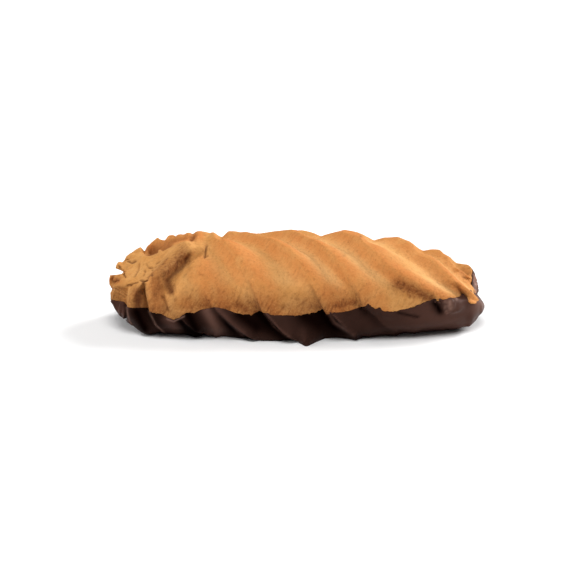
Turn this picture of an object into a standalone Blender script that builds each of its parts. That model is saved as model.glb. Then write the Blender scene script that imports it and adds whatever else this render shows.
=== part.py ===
"""A piped butter finger with a twisted, ridged body, its underside dipped in dark chocolate.

Two solids: the biscuit, and the chocolate coat that wraps its lower part like a shallow boat.
X runs along the finger, -Y is the side that is looked at, and the flat base stands on Z = 0.
Both solids come from one skin, the outer surface of the finger, so they fit each other.
A place on the skin is a station along X and an angle round the section, in degrees:
0 at the front, 90 on top, 180 at the back and -90 underneath.
"""
import math

import bmesh
import bpy
import numpy as np

MM = 0.001

# The finger as a whole
LEFT_END = -39.6 * MM
RIGHT_END = 39.3 * MM
LEFT_CAP = -20.5 * MM           # the ends start to taper here
RIGHT_CAP = 11.3 * MM
HALF_WIDTH = 14.0 * MM
WIDEST_HEIGHT = 8.5 * MM
CROWN_HEIGHT = 19.0 * MM        # to the mean of ridges and hollows
LEFT_TIP_HEIGHT = 7.6 * MM
RIGHT_TIP_HEIGHT = 4.3 * MM
BELOW_BASE = 1.2 * MM           # the rounded section is cut off this far above its lowest point
LEFT_CROWN_POWER = 2.0          # how blunt the ends are, seen from the side
RIGHT_CROWN_POWER = 1.7
SIDE_POWER = 2.5                # and seen from above
ROUND_POWER = 2.0               # of the section above its widest height
BASE_POWER = 3.6                # how square the section is below it
BASE_SQUARED = 0.7              # share of the way down at which it is squared

# The ridges: where each crosses the front at RIDGE_ANGLE, and how they wind round the finger
RIDGE_ANGLE = 45.0
RIDGE_STATIONS = [s * MM for s in (-41.5, -31.3, -22.1, -12.3, 0.0, 8.1, 17.6, 32.6, 41.0)]
RIDGE_SPACING = 10.2 * MM       # between the ridges that only show at the back
BACK_RIDGES = 4
TWIST = 0.089 * MM              # along X for each degree
CROWN_TWIST = 0.130 * MM        # added over the crown
CROWN_TWIST_ANGLE = 108.0
CROWN_TWIST_SPREAD = 45.0
OBLIQUE_TWIST = 0.190 * MM      # added low on the front, on the ridges of the right end
FIRST_OBLIQUE_RIDGE = 6
LEAN_TWIST = 0.052 * MM         # added between LEAN_ANGLES, from this ridge on
LEAN_ANGLES = (18.0, 88.0)
FIRST_LEANING_RIDGE = 4
FOOT_TWIST = 0.13 * MM          # added below the front of the section, between FOOT_ANGLES
FOOT_ANGLES = (-46.0, -4.0)
RIDGE_HEIGHT = 2.3 * MM
RIDGE_STRENGTHS = (0.5, 0.5, 0.42, 0.95, 1.0, 1.0, 1.05, 0.9, 0.8, 1.0, 1.0, 1.0, 1.0)
FRONT_VALLEY = 0.70             # the lowest line between two crests, as a share of the way
CROWN_VALLEY = 0.55             # and on the crown
VALLEY_ANGLES = (55.0, 85.0)    # between these it moves from the one to the other
RIDGE_SHARPNESS = 1.5
RIDGE_TERRACE = 0.95            # how full the band to the right of a crest is
RIDGE_MEAN = 0.45
RIDGE_FADE = (-110.0, -10.0)    # the ridges run out between these angles, towards the base
RIDGE_ROUNDING = 0.01           # of the crests, as a share of the spacing

# The left end: the torn face where the piping ended, its curled front edge, and its teeth
FACE_CENTRE = (-31.0 * MM, 0.0, 15.2 * MM)
FACE_SLOPE = (0.43, 0.20)       # rise along X and along Y
CURL_ANGLES = (-60.0, -20.0, 4.0, 22.0, 45.0, 57.0, 66.0, 76.0, 90.0)
CURL_STATIONS = [s * MM for s in (-25.8, -27.6, -28.2, -27.5, -25.4, -23.0, -21.0, -17.5, -9.0)]
CURL_ROUNDING = 9.0             # the curl's line is rounded over this many degrees each way
CURL_END = 70.0                 # above this angle the face runs into the crown
CURL_ROLL = 3.6 * MM            # over this width the curled edge bends down into its groove
CURL_ROLL_POWER = 1.6
CURL_GROOVE = 1.9 * MM          # depth of the groove
CURL_GROOVE_WIDTH = 1.5 * MM    # past the groove the skin is back at its height after this
CURL_GROOVE_POWER = 1.5
CURL_STEP = 0.6 * MM
CURL_FADE = (-4.0, 22.0)        # the curl runs out between these angles, towards the base
CURL_TOP_FADE = 12.0            # and over this angle below CURL_END
RIDGES_START = -25.0 * MM       # at the latest
RIDGES_BEGIN = (1.0 * MM, 6.5 * MM)   # the ridges rise to their height between these, past the curl
RIDGES_LATER = 3.0 * MM         # and this much further on, on the crown
RIDGES_LATER_ANGLES = (45.0, 75.0)
TOOTH_CENTRE = (-30.0 * MM, 0.0)
NOTCHES = [(turn, before, after, depth * MM) for turn, before, after, depth in (
    (-70.0, 8.0, 22.0, 2.6), (-42.0, 5.0, 11.0, 1.4), (-12.0, 12.0, 9.0, 2.1),
    (20.0, 7.0, 7.0, 3.4), (40.0, 7.0, 7.0, 3.2), (70.0, 7.0, 8.0, 2.6),
    (101.0, 8.0, 7.0, 1.8), (123.0, 6.0, 6.0, 1.5), (143.0, 7.0, 7.0, 1.4), (167.0, 9.0, 9.0, 1.0))]
NOTCH_SHAPE = 0.8               # under 1 the notches are rounder inside
NOTCH_RIM = (4.0 * MM, 8.0 * MM)      # they cut in between these distances from TOOTH_CENTRE
NOTCH_AT_BASE = 0.35
NOTCH_HEIGHTS = (1.0 * MM, 9.0 * MM)  # where they are at their share NOTCH_AT_BASE, and full
NOTCH_STATIONS = (-24.0 * MM, -18.0 * MM)
POCKETS = [(x * MM, y * MM) for x, y in ((-30.2, 4.3), (-26.4, 5.2), (-23.4, 4.0))]
POCKET_RADIUS = 1.7 * MM
POCKET_DEPTH = 1.3 * MM
POCKET_HEIGHTS = (9.0 * MM, 11.0 * MM)  # only the upper side of the skin has them

# The right end: a knob on top, and a ridge that ends like a finger tip
KNOB_PLACE = (35.0 * MM, 84.0)
KNOB_RADIUS = 1.6 * MM
KNOB_HEIGHT = 1.6 * MM
TIP_FROM = (32.6 * MM, 44.0)
TIP_TO = (35.8 * MM, 18.0)
TIP_RADIUS = 1.5 * MM
TIP_HEIGHT = 1.8 * MM
ANGLE_SCALE = 0.135 * MM        # length round the section of one degree, at the right end

# The chocolate
GAP = 0.50 * MM
RIM_THICKNESS = 0.30 * MM
COAT_THICKNESS = 0.85 * MM
DRAWN_IN = 0.95 * MM            # how far the biscuit is drawn in under the coat
DRAWN_IN_OVER = 3.0 * MM        # measured down from the rim
EVENED_FROM = -2.2 * MM         # the relief gets shallower between these depths below the rim
EVENED_TO = 2.2 * MM
EVENED_UNDER = 0.70             # by this share on the faces that the chocolate hides
EVENED_OUTSIDE = 0.25           # and by this one on the coat itself
BISCUIT_FLOOR = 1.25 * MM
COAT_FLOOR = 0.85 * MM          # top of the layer of chocolate under the biscuit
DIP_HEIGHT = 7.3 * MM
DIP_RISE = 0.012                # for each metre along X
DIP_WAVES = [(x * MM, w * MM, h * MM) for x, w, h in (
    (-26.8, 2.6, -2.1), (-2.5, 6.0, -1.1), (18.5, 3.0, -0.5), (31.5, 5.0, 1.2))]
CLIMB_START = 34.8 * MM         # the right end is coated right over its tip
CLIMB_END = 39.4 * MM
CLIMB_HEIGHT = 3.8 * MM
RIM_RISES = (-60.0, 75.0)       # the chocolate's edge is looked for between these
RIM_HALVINGS = 30
FEET = [(x * MM, w * MM, reach * MM, power) for x, w, reach, power in (
    (2.0, 3.2, 4.6, 1.3), (-4.0, 12.0, 1.8, 0.8))]  # a pointed foot of chocolate, on a wide one
FOOT_HEIGHTS = (0.1 * MM, 1.6 * MM)
FOOT_FRONT = (6.0 * MM, 11.0 * MM)    # the feet grow between these distances in front of the middle

# Mesh
BISCUIT_RINGS = 88
BISCUIT_SEGMENTS = 54
UNDERSIDE_STRETCH = 0.35        # segments lie further apart underneath
COAT_SEGMENTS = 132
COAT_RINGS = 22                 # half of them outside, half inside
RING_CROWDING = 0.7             # rings lie closer towards the rim
FINE_END = 1.0                  # extra rings at the left end, where the teeth are
FINE_STATIONS = (-30.0 * MM, -12.0 * MM)
PROFILE_SAMPLES = 4000
TIP_MARGIN = 0.02 * MM          # the skin's direction is taken this far inside the tips
NUDGE = 0.001 * MM              # steps along X and round the section that give that direction
TURN_NUDGE = 0.05

DOUGH_COLOR = (0.62, 0.33, 0.12, 1.0)
CHOCOLATE_COLOR = (0.028, 0.011, 0.008, 1.0)


def smooth(value, low, high):
    """0 below low, 1 above high and a smooth rise between."""
    share = np.clip((value - low) / (high - low), 0.0, 1.0)
    return share * share * (3.0 - 2.0 * share)


def taper(x, power):
    """1 along the middle of the finger, falling to 0 at both tips."""
    left = np.clip((LEFT_CAP - x) / (LEFT_CAP - LEFT_END), 0.0, 1.0)
    right = np.clip((x - RIGHT_CAP) / (RIGHT_END - RIGHT_CAP), 0.0, 1.0)
    return (1.0 - np.maximum(left, right) ** power) ** (1.0 / power)


def plain_body(x, angle):
    """The finger without its ridges: domed above, squarer below, rounded at both ends."""
    across, along_z = np.cos(np.radians(angle)), np.sin(np.radians(angle))
    tip = np.where(x < 0.0, LEFT_TIP_HEIGHT, RIGHT_TIP_HEIGHT)
    side = taper(x, SIDE_POWER)
    blunt = np.where(x < 0.0, LEFT_CROWN_POWER, RIGHT_CROWN_POWER)
    top = tip + (CROWN_HEIGHT - tip) * taper(x, blunt)
    widest = tip + (WIDEST_HEIGHT - tip) * side
    bottom = tip * (1.0 - side) - BELOW_BASE * side
    power = ROUND_POWER + (BASE_POWER - ROUND_POWER) * smooth(-along_z, 0.0, BASE_SQUARED)
    across = np.sign(across) * np.abs(across) ** (2.0 / power)
    reach = np.where(along_z > 0.0, top - widest, widest - bottom)
    height = np.sign(along_z) * np.abs(along_z) ** (2.0 / power)
    return np.stack([x, -HALF_WIDTH * side * across, widest + reach * height], axis=-1)


def outward(x, angle):
    """The direction straight out of the plain body."""
    inside = np.clip(x, LEFT_END + TIP_MARGIN, RIGHT_END - TIP_MARGIN)
    along = plain_body(inside + NUDGE, angle) - plain_body(inside - NUDGE, angle)
    round_it = plain_body(inside, angle + TURN_NUDGE) - plain_body(inside, angle - TURN_NUDGE)
    normal = np.cross(along, round_it)
    length = np.linalg.norm(normal, axis=-1, keepdims=True)
    return normal / np.maximum(length, 1e-18)


def ridge_shift(angle, ridge):
    """How far along X a ridge has moved by this angle, from where it crosses RIDGE_ANGLE."""
    erf = np.vectorize(math.erf)
    bell = CROWN_TWIST_SPREAD * math.sqrt(math.pi) / 2.0
    start = math.erf((RIDGE_ANGLE - CROWN_TWIST_ANGLE) / CROWN_TWIST_SPREAD)
    crown = bell * (erf((angle - CROWN_TWIST_ANGLE) / CROWN_TWIST_SPREAD) - start)
    shift = TWIST * (RIDGE_ANGLE - angle) - CROWN_TWIST * crown
    if ridge >= FIRST_OBLIQUE_RIDGE:
        shift = shift + OBLIQUE_TWIST * np.clip(RIDGE_ANGLE - angle, 0.0, RIDGE_ANGLE)
    if ridge >= FIRST_LEANING_RIDGE:
        shift = shift - LEAN_TWIST * (np.clip(angle, *LEAN_ANGLES) - RIDGE_ANGLE)
    return shift + FOOT_TWIST * (FOOT_ANGLES[1] - np.clip(angle, *FOOT_ANGLES))


def between_ridges(x, angle):
    """How far a place lies from the crest on its left to the next, 0 to 1, and which is on its left."""
    last = RIDGE_STATIONS[-1]
    stations = RIDGE_STATIONS + [last + RIDGE_SPACING * (n + 1) for n in range(BACK_RIDGES)]
    share = np.zeros_like(x)
    which = np.zeros(x.shape, int)
    crest = stations[0] + ridge_shift(angle, 0)
    for ridge, station in enumerate(stations[1:], start=1):
        following = station + ridge_shift(angle, ridge)
        here = (x >= crest) & (x < following)
        share = np.where(here, (x - crest) / (following - crest), share)
        which = np.where(here, ridge - 1, which)
        crest = following
    return share, which


def past_curl(x, angle):
    """0 on the torn left end, and 1 where the ridges have their full height."""
    start = np.minimum(curl_station(angle), RIDGES_START)
    return smooth(x - start - RIDGES_LATER * smooth(angle, *RIDGES_LATER_ANGLES), *RIDGES_BEGIN)


def ridge_relief(x, angle):
    """Height of the ridges over their mean: a full band to the right of each crest, then a valley."""
    share, left = between_ridges(x, angle)
    valley = FRONT_VALLEY + (CROWN_VALLEY - FRONT_VALLEY) * smooth(angle, *VALLEY_ANGLES)
    before_valley = share < valley
    from_crest = np.where(before_valley, share / valley, (1.0 - share) / (1.0 - valley))
    from_crest = (np.sqrt(from_crest ** 2 + RIDGE_ROUNDING) - math.sqrt(RIDGE_ROUNDING))
    from_crest /= math.sqrt(1.0 + RIDGE_ROUNDING) - math.sqrt(RIDGE_ROUNDING)
    scooped = (1.0 - from_crest) ** RIDGE_SHARPNESS
    full = 0.5 + 0.5 * np.cos(math.pi * from_crest)
    profile = scooped + (full - scooped) * np.where(before_valley, RIDGE_TERRACE, 0.0)
    strengths = np.array(RIDGE_STRENGTHS)
    profile = profile * np.where(before_valley, strengths[left], strengths[left + 1]) - RIDGE_MEAN
    low_front = smooth(angle, *RIDGE_FADE)
    low_back = smooth(180.0 - angle, *RIDGE_FADE)
    return RIDGE_HEIGHT * profile * low_front * low_back * past_curl(x, angle) * taper(x, ROUND_POWER)


def curl_station(angle):
    """Where the curled edge of the left end lies, at each angle."""
    steps = (-1.0, -0.5, 0.0, 0.5, 1.0)
    lines = [np.interp(angle + step * CURL_ROUNDING, CURL_ANGLES, CURL_STATIONS) for step in steps]
    return np.mean(lines, axis=0)


def curl_relief(x, angle):
    """The curled edge rolls down into the groove between it and the twisted body."""
    past = x - curl_station(angle)
    fade = smooth(angle, *CURL_FADE) * smooth(CURL_END - angle, 0.0, CURL_TOP_FADE)
    before = smooth(past, -CURL_ROLL, 0.0) ** CURL_ROLL_POWER
    after = np.exp(-(np.maximum(past - CURL_STEP, 0.0) / CURL_GROOVE_WIDTH) ** CURL_GROOVE_POWER)
    return -CURL_GROOVE * fade * before * after


def torn_face(point, x, angle):
    """How far the torn face lowers a place at the left end."""
    face = (FACE_CENTRE[2] + FACE_SLOPE[0] * (point[..., 0] - FACE_CENTRE[0])
            + FACE_SLOPE[1] * (point[..., 1] - FACE_CENTRE[1]))
    above = np.maximum(point[..., 2] - face, 0.0)
    left_of_curl = smooth(curl_station(angle) - x, -0.5 * CURL_STEP, 0.5 * CURL_STEP)
    return above * left_of_curl


def pocket_depth(point):
    """Small hollows on the torn face, in front of its far teeth."""
    depth = np.zeros(point.shape[:-1])
    for x, y in POCKETS:
        away = np.hypot(point[..., 0] - x, point[..., 1] - y) / POCKET_RADIUS
        depth = np.maximum(depth, POCKET_DEPTH * np.exp(-away ** 4))
    return depth * smooth(point[..., 2], *POCKET_HEIGHTS)


def notch_pull(point):
    """How far the notches between the teeth pull a place of the left end inwards."""
    out_x = TOOTH_CENTRE[0] - point[..., 0]
    out_y = point[..., 1] - TOOTH_CENTRE[1]
    turn = np.degrees(np.arctan2(out_y, out_x))
    pull = np.zeros(point.shape[:-1])
    for deepest, before, after, depth in NOTCHES:
        away = turn - deepest
        away = np.where(away < 0.0, -away / before, away / after)
        pull = np.maximum(pull, depth * np.clip(1.0 - away, 0.0, 1.0) ** NOTCH_SHAPE)
    rim = smooth(np.hypot(out_x, out_y), *NOTCH_RIM)
    low = NOTCH_AT_BASE + (1.0 - NOTCH_AT_BASE) * smooth(point[..., 2], *NOTCH_HEIGHTS)
    left_end = 1.0 - smooth(point[..., 0], *NOTCH_STATIONS)
    return pull * rim * low * left_end


def segment_bump(x, angle, start, end, radius, height):
    """A rounded ridge from one place on the skin to another."""
    place = np.stack([x, angle * ANGLE_SCALE], axis=-1)
    first = np.array([start[0], start[1] * ANGLE_SCALE])
    line = np.array([end[0], end[1] * ANGLE_SCALE]) - first
    share = np.clip((place - first) @ line / max(line @ line, 1e-12), 0.0, 1.0)
    away = np.linalg.norm(place - first - share[..., None] * line, axis=-1) / radius
    return height * np.exp(-away ** 2)


def right_end_relief(x, angle):
    """The knob and the finger tip of the right end."""
    knob = segment_bump(x, angle, KNOB_PLACE, KNOB_PLACE, KNOB_RADIUS, KNOB_HEIGHT)
    tip = segment_bump(x, angle, TIP_FROM, TIP_TO, TIP_RADIUS, TIP_HEIGHT)
    return np.maximum(knob, tip)


def dip_height(x):
    """Height of the chocolate's wavy upper edge."""
    height = DIP_HEIGHT + DIP_RISE * x
    for place, width, rise in DIP_WAVES:
        height = height + rise * np.exp(-((x - place) / width) ** 2)
    return height + CLIMB_HEIGHT * smooth(x, CLIMB_START, CLIMB_END)


def below_rim(x, angle):
    """How far a place lies below the chocolate's edge."""
    return dip_height(x) - plain_body(x, angle)[..., 2]


def skin(x, angle, offset, floor, relief_share=1.0):
    """Points of the finger's skin, moved out by offset and kept above floor."""
    plain = plain_body(x, angle)
    relief = ridge_relief(x, angle) + curl_relief(x, angle) + right_end_relief(x, angle)
    point = plain + outward(x, angle) * (relief * relief_share + offset)[..., None]
    point[..., 2] -= torn_face(point, x, angle) + pocket_depth(plain)
    out = plain[..., :2] - np.array(TOOTH_CENTRE)
    out = out / np.maximum(np.linalg.norm(out, axis=-1, keepdims=True), NUDGE)
    point[..., :2] -= out * (notch_pull(plain) * relief_share)[..., None]
    point[..., 2] = np.maximum(point[..., 2], floor)
    return point


def drawn_in(x, angle):
    """0 at the chocolate's edge and above it, 1 well below."""
    return smooth(below_rim(x, angle), 0.0, DRAWN_IN_OVER)


def relief_left(x, angle, evened):
    """The share of the relief that is left round the chocolate's edge and below it."""
    return 1.0 - evened * smooth(below_rim(x, angle), EVENED_FROM, EVENED_TO)


def biscuit_points(x, angle):
    """The skin, drawn in and evened out where the chocolate covers it."""
    relief = relief_left(x, angle, EVENED_UNDER)
    return skin(x, angle, -DRAWN_IN * drawn_in(x, angle), BISCUIT_FLOOR, relief)


def foot(point):
    """How far the chocolate has spread out of the front of the coat, near the base."""
    reach = np.zeros(point.shape[:-1])
    for place, half_width, length, power in FEET:
        share = np.clip(1.0 - np.abs(point[..., 0] - place) / half_width, 0.0, 1.0)
        reach = np.maximum(reach, length * share ** power)
    low = 1.0 - smooth(point[..., 2], *FOOT_HEIGHTS)
    return reach * low * smooth(-point[..., 1], *FOOT_FRONT)


def ring_stations(count):
    """Stations of the biscuit's rings, evenly spaced over its outline and closer at the left."""
    phase = np.linspace(0.0, math.pi, PROFILE_SAMPLES)
    x = LEFT_END + (RIGHT_END - LEFT_END) * (1.0 - np.cos(phase)) / 2.0
    half = HALF_WIDTH * taper(x, SIDE_POWER)
    step = np.hypot(np.diff(x), np.diff(half))
    step *= 1.0 + FINE_END * (1.0 - smooth(x[:-1], *FINE_STATIONS))
    run = np.concatenate([[0.0], np.cumsum(step)])
    return np.interp(np.linspace(0.0, run[-1], count), run, x)


def sphere_mesh(name, segments, rings):
    """A sphere to be reshaped, with each vertex's ring and its turn in degrees."""
    sphere = bmesh.new()
    bmesh.ops.create_uvsphere(sphere, u_segments=segments, v_segments=rings, radius=1.0)
    mesh = bpy.data.meshes.new(name)
    sphere.to_mesh(mesh)
    sphere.free()
    place = np.array([vertex.co for vertex in mesh.vertices])
    ring = np.rint(np.arccos(np.clip(-place[:, 2], -1.0, 1.0)) / math.pi * rings).astype(int)
    turn = np.degrees(np.arctan2(place[:, 1], place[:, 0]))
    return mesh, ring, turn


def set_points(mesh, points):
    mesh.vertices.foreach_set("co", points.astype(np.float32).ravel())
    mesh.update()
    solid = bmesh.new()
    solid.from_mesh(mesh)
    bmesh.ops.recalc_face_normals(solid, faces=solid.faces)
    solid.to_mesh(mesh)
    solid.free()
    mesh.shade_smooth()


def make_biscuit():
    """Rings stand across the finger, from its left tip to its right tip."""
    mesh, ring, turn = sphere_mesh("biscuit", BISCUIT_SEGMENTS, BISCUIT_RINGS)
    x = ring_stations(BISCUIT_RINGS + 1)[ring]
    round_share = np.mod(turn + 90.0, 360.0) / 360.0
    stretch = UNDERSIDE_STRETCH * np.sin(2.0 * math.pi * round_share) / (2.0 * math.pi)
    set_points(mesh, biscuit_points(x, -90.0 + 360.0 * (round_share + stretch)))
    return mesh


def coat_place(turn, rise):
    """Station and angle on the skin, for a turn round the upright axis and a rise from -90."""
    turned, risen = np.radians(turn), np.radians(rise)
    to_x = np.cos(risen) * np.cos(turned)
    to_y = np.cos(risen) * np.sin(turned)
    angle = np.degrees(np.arctan2(np.sin(risen), -to_y))
    angle = np.where(angle < -90.0, angle + 360.0, angle)
    share = np.degrees(np.arccos(np.clip(-to_x, -1.0, 1.0))) / 180.0
    stations = ring_stations(PROFILE_SAMPLES)
    return np.interp(share, np.linspace(0.0, 1.0, PROFILE_SAMPLES), stations), angle


def rim_rise(turn):
    """The rise at which the body meets the chocolate's edge, found by halving."""
    low = np.full_like(turn, RIM_RISES[0])
    high = np.full_like(turn, RIM_RISES[1])
    for _ in range(RIM_HALVINGS):
        middle = (low + high) / 2.0
        under = below_rim(*coat_place(turn, middle)) > 0.0
        low = np.where(under, middle, low)
        high = np.where(under, high, middle)
    return low


def make_coat():
    """The lower half of a sphere becomes the outside of the coat, the upper half its inside."""
    mesh, ring, turn = sphere_mesh("chocolate_coat", COAT_SEGMENTS, COAT_RINGS)
    half = COAT_RINGS // 2
    outside = ring <= half
    step = np.where(outside, ring, COAT_RINGS - ring) / half
    rise = -90.0 + (rim_rise(turn) + 90.0) * step ** RING_CROWDING
    x, angle = coat_place(turn, rise)
    covered = drawn_in(x, angle)
    inner_offset = GAP - DRAWN_IN * covered
    thickness = RIM_THICKNESS + (COAT_THICKNESS - RIM_THICKNESS) * covered
    inner = skin(x, angle, inner_offset, COAT_FLOOR, relief_left(x, angle, EVENED_UNDER))
    outer_offset = inner_offset + thickness
    outer = skin(x, angle, outer_offset, 0.0, relief_left(x, angle, EVENED_OUTSIDE))
    outer[:, 1] -= foot(outer)
    set_points(mesh, np.where(outside[:, None], outer, inner))
    return mesh


def surface(name, color, roughness):
    material = bpy.data.materials.new(name)
    material.use_nodes = True
    material.diffuse_color = color
    shader = material.node_tree.nodes["Principled BSDF"]
    shader.inputs["Base Color"].default_value = color
    shader.inputs["Roughness"].default_value = roughness
    shader.inputs["Metallic"].default_value = 0.0
    return material


def add_solid(collection, mesh, material):
    mesh.materials.append(material)
    solid = bpy.data.objects.new(mesh.name, mesh)
    collection.objects.link(solid)
    return solid


def centre_on_box(solids):
    """Moves the meshes so that the finger's box is centred over the origin."""
    places = [np.array([v.co for v in solid.data.vertices]) for solid in solids]
    low = np.min([place.min(axis=0) for place in places], axis=0)
    high = np.max([place.max(axis=0) for place in places], axis=0)
    shift = np.array([-(low[0] + high[0]) / 2.0, -(low[1] + high[1]) / 2.0, -low[2]])
    for solid, place in zip(solids, places):
        solid.data.vertices.foreach_set("co", (place + shift).astype(np.float32).ravel())
        solid.data.update()


def main():
    for old in list(bpy.data.objects):
        bpy.data.objects.remove(old, do_unlink=True)
    finger = bpy.data.collections.new("chocolate_dipped_finger")
    bpy.context.scene.collection.children.link(finger)
    dough = surface("baked_dough", DOUGH_COLOR, 0.8)
    chocolate = surface("dark_chocolate", CHOCOLATE_COLOR, 0.35)
    solids = [add_solid(finger, make_biscuit(), dough), add_solid(finger, make_coat(), chocolate)]
    centre_on_box(solids)


main()
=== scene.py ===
import math

import bmesh
import bpy
import numpy as np
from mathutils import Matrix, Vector, noise


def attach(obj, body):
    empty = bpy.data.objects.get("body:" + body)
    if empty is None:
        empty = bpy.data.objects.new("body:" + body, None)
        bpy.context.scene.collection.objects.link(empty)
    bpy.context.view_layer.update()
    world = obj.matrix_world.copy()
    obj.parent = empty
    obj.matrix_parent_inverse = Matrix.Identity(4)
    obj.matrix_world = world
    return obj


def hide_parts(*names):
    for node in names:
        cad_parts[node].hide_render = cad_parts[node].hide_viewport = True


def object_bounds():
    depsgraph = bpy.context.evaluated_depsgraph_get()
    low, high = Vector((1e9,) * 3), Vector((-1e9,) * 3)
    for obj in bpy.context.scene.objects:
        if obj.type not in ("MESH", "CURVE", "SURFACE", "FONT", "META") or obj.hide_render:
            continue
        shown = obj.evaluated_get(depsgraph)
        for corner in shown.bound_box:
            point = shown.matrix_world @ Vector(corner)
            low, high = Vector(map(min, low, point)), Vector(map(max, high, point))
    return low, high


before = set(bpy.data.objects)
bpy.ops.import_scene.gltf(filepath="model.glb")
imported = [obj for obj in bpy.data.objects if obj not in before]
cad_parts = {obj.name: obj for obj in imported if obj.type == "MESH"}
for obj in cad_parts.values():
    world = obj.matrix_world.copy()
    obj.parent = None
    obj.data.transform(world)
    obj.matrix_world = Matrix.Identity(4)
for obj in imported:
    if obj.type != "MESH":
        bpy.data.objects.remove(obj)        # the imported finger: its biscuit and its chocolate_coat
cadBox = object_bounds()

mm = 0.001
print("frame loaded:", sorted(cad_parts))

# Everything is worked out in mm. X runs along the finger, -Y is the side that is looked at.
# A place on the skin is a station along X and an angle round the section:
# 0 at the front, 90 on top, 180 at the back and -90 underneath.

camera = {
    "elevation": 16.0,             # degrees
    "distance": 700.0,
    "aim": (-2.65, 0.29, 8.54),
    "side": 570,                   # the picture's side, in pixels
    "pixel": 0.212,                # one pixel at the aim
    "sensor": 36.0,
    "nearest": 10.0,
}

finger = {
    "ends": (-39.6, 39.3),
    "caps": (-20.5, 11.3),         # the ends start to taper here
    "halfWidth": 14.0,
    "widest": 8.5,                 # height of the widest line
    "crown": 19.0,                 # to the mean of ridges and hollows
    "tips": (7.6, 4.3),            # heights of the left and the right tip
    "cut": 1.2,                    # the round section is cut off this far above its lowest point
    "crownPowers": (2.0, 1.7),     # how blunt the ends are from the side, left and right
    "sidePower": 2.5,              # and from above
    "basePower": 3.6,              # how square the section is low down
    "baseSquared": 0.7,
    "shift": (0.13, 0.42, 0.0),    # brings the finger to its place in the frame
}

ridges = {
    "angle": 45.0,                 # each ridge is at its station at this angle
    "stations": (-41.5, -31.3, -22.1, -12.3, 0.0, 8.1, 17.6, 32.6, 41.0),
    "spacing": 10.2,               # of the four that only show at the back
    "backRidges": 4,
    "twist": 0.089,                # along X for each degree
    "crownTwist": 0.130,           # added over the crown
    "crownAngle": 108.0,
    "crownSpread": 45.0,
    "obliqueTwist": 0.190,         # added low on the front, from this ridge on
    "firstOblique": 6,
    "leanTwist": 0.052,            # added between these angles, from this ridge on
    "leanAngles": (18.0, 88.0),
    "firstLeaning": 4,
    "footTwist": 0.13,             # added below the front of the section, down to this angle
    "footAngles": (-4.0, -46.0),
    "height": 2.3,
    # how strong each crest is, from the left
    "strengths": (0.5, 0.5, 0.42, 0.95, 1.0, 1.0, 1.05, 0.9, 0.8, 1.0, 1.0, 1.0, 1.0),
    "valley": (0.76, 0.56),        # the lowest line, as a share of the way to the next crest
    "valleyAngles": (55.0, 85.0),  # between these angles it moves from the one to the other
    "sharpness": 1.7,
    "mean": 0.45,
    "terrace": 0.95,               # how full the band beside a crest is
    "fade": (-110.0, -10.0),       # the ridges run out between these angles
    "rounding": 0.004,
    "wobble": 0.22,                # how uneven a crest's line is, in mm
    "wobbleLength": 14.0,          # degrees
    "wobbleSeed": (5.3, 1.7),      # each crest has its own line of noise, this far from the next
    "endPower": 2.0,               # how they run out towards both ends
}

leftEnd = {
    "face": (-31.0, 0.0, 15.2),    # a point of the torn face
    "slope": (0.43, 0.20),
    "curlAngles": (-60.0, -20.0, 4.0, 22.0, 45.0, 57.0, 66.0, 76.0, 90.0),
    "curlStations": (-25.8, -27.6, -28.2, -27.5, -25.4, -23.0, -21.0, -17.5, -9.0),
    "curlRounding": 9.0,           # degrees
    "curlEnd": 70.0,
    "curlEndFade": 12.0,
    "rollWidth": 3.6,              # over this width the curl bends down into the groove
    "rollPower": 1.6,
    "groove": 1.9,
    "grooveWidth": 1.5,            # past the groove the skin is back at its height after this
    "groovePower": 1.5,
    "step": 0.6,
    "fade": (-4.0, 22.0),
    "ridgesStart": -25.0,
    "ridgesBegin": (1.0, 6.5),     # past their start they rise to their height between these
    "crownStart": 3.0,             # on the crown they start this much later
    "crownAngles": (45.0, 75.0),
    "toothCentre": (-30.0, 0.0),
    # direction of each notch, its half width before and after, and its depth
    "notches": (
        (-70, 8, 22, 0.5), (-42, 5, 11, 1.4), (-12, 12, 9, 2.1), (20, 7, 7, 2.2), (40, 7, 7, 1.6),
        (70, 7, 8, 1.8), (101, 8, 7, 1.6), (123, 6, 6, 1.5), (143, 7, 7, 1.4), (167, 9, 9, 1.0)),
    "notchPower": 0.8,             # under 1 the notches are rounder inside
    "notchRim": (4.0, 8.0),        # they cut in between these distances from toothCentre
    "notchLow": 0.35,              # their share at the base
    "notchHeights": (1.0, 9.0),
    "notchStations": (-24.0, -18.0),
    "pockets": ((-30.2, 4.3), (-26.4, 5.2), (-23.4, 4.0)),
    "pocketRadius": 1.7,
    "pocketDepth": 1.3,
    "pocketPower": 4,
    "pocketHeights": (9.0, 11.0),  # only the upper side has them
}

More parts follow.
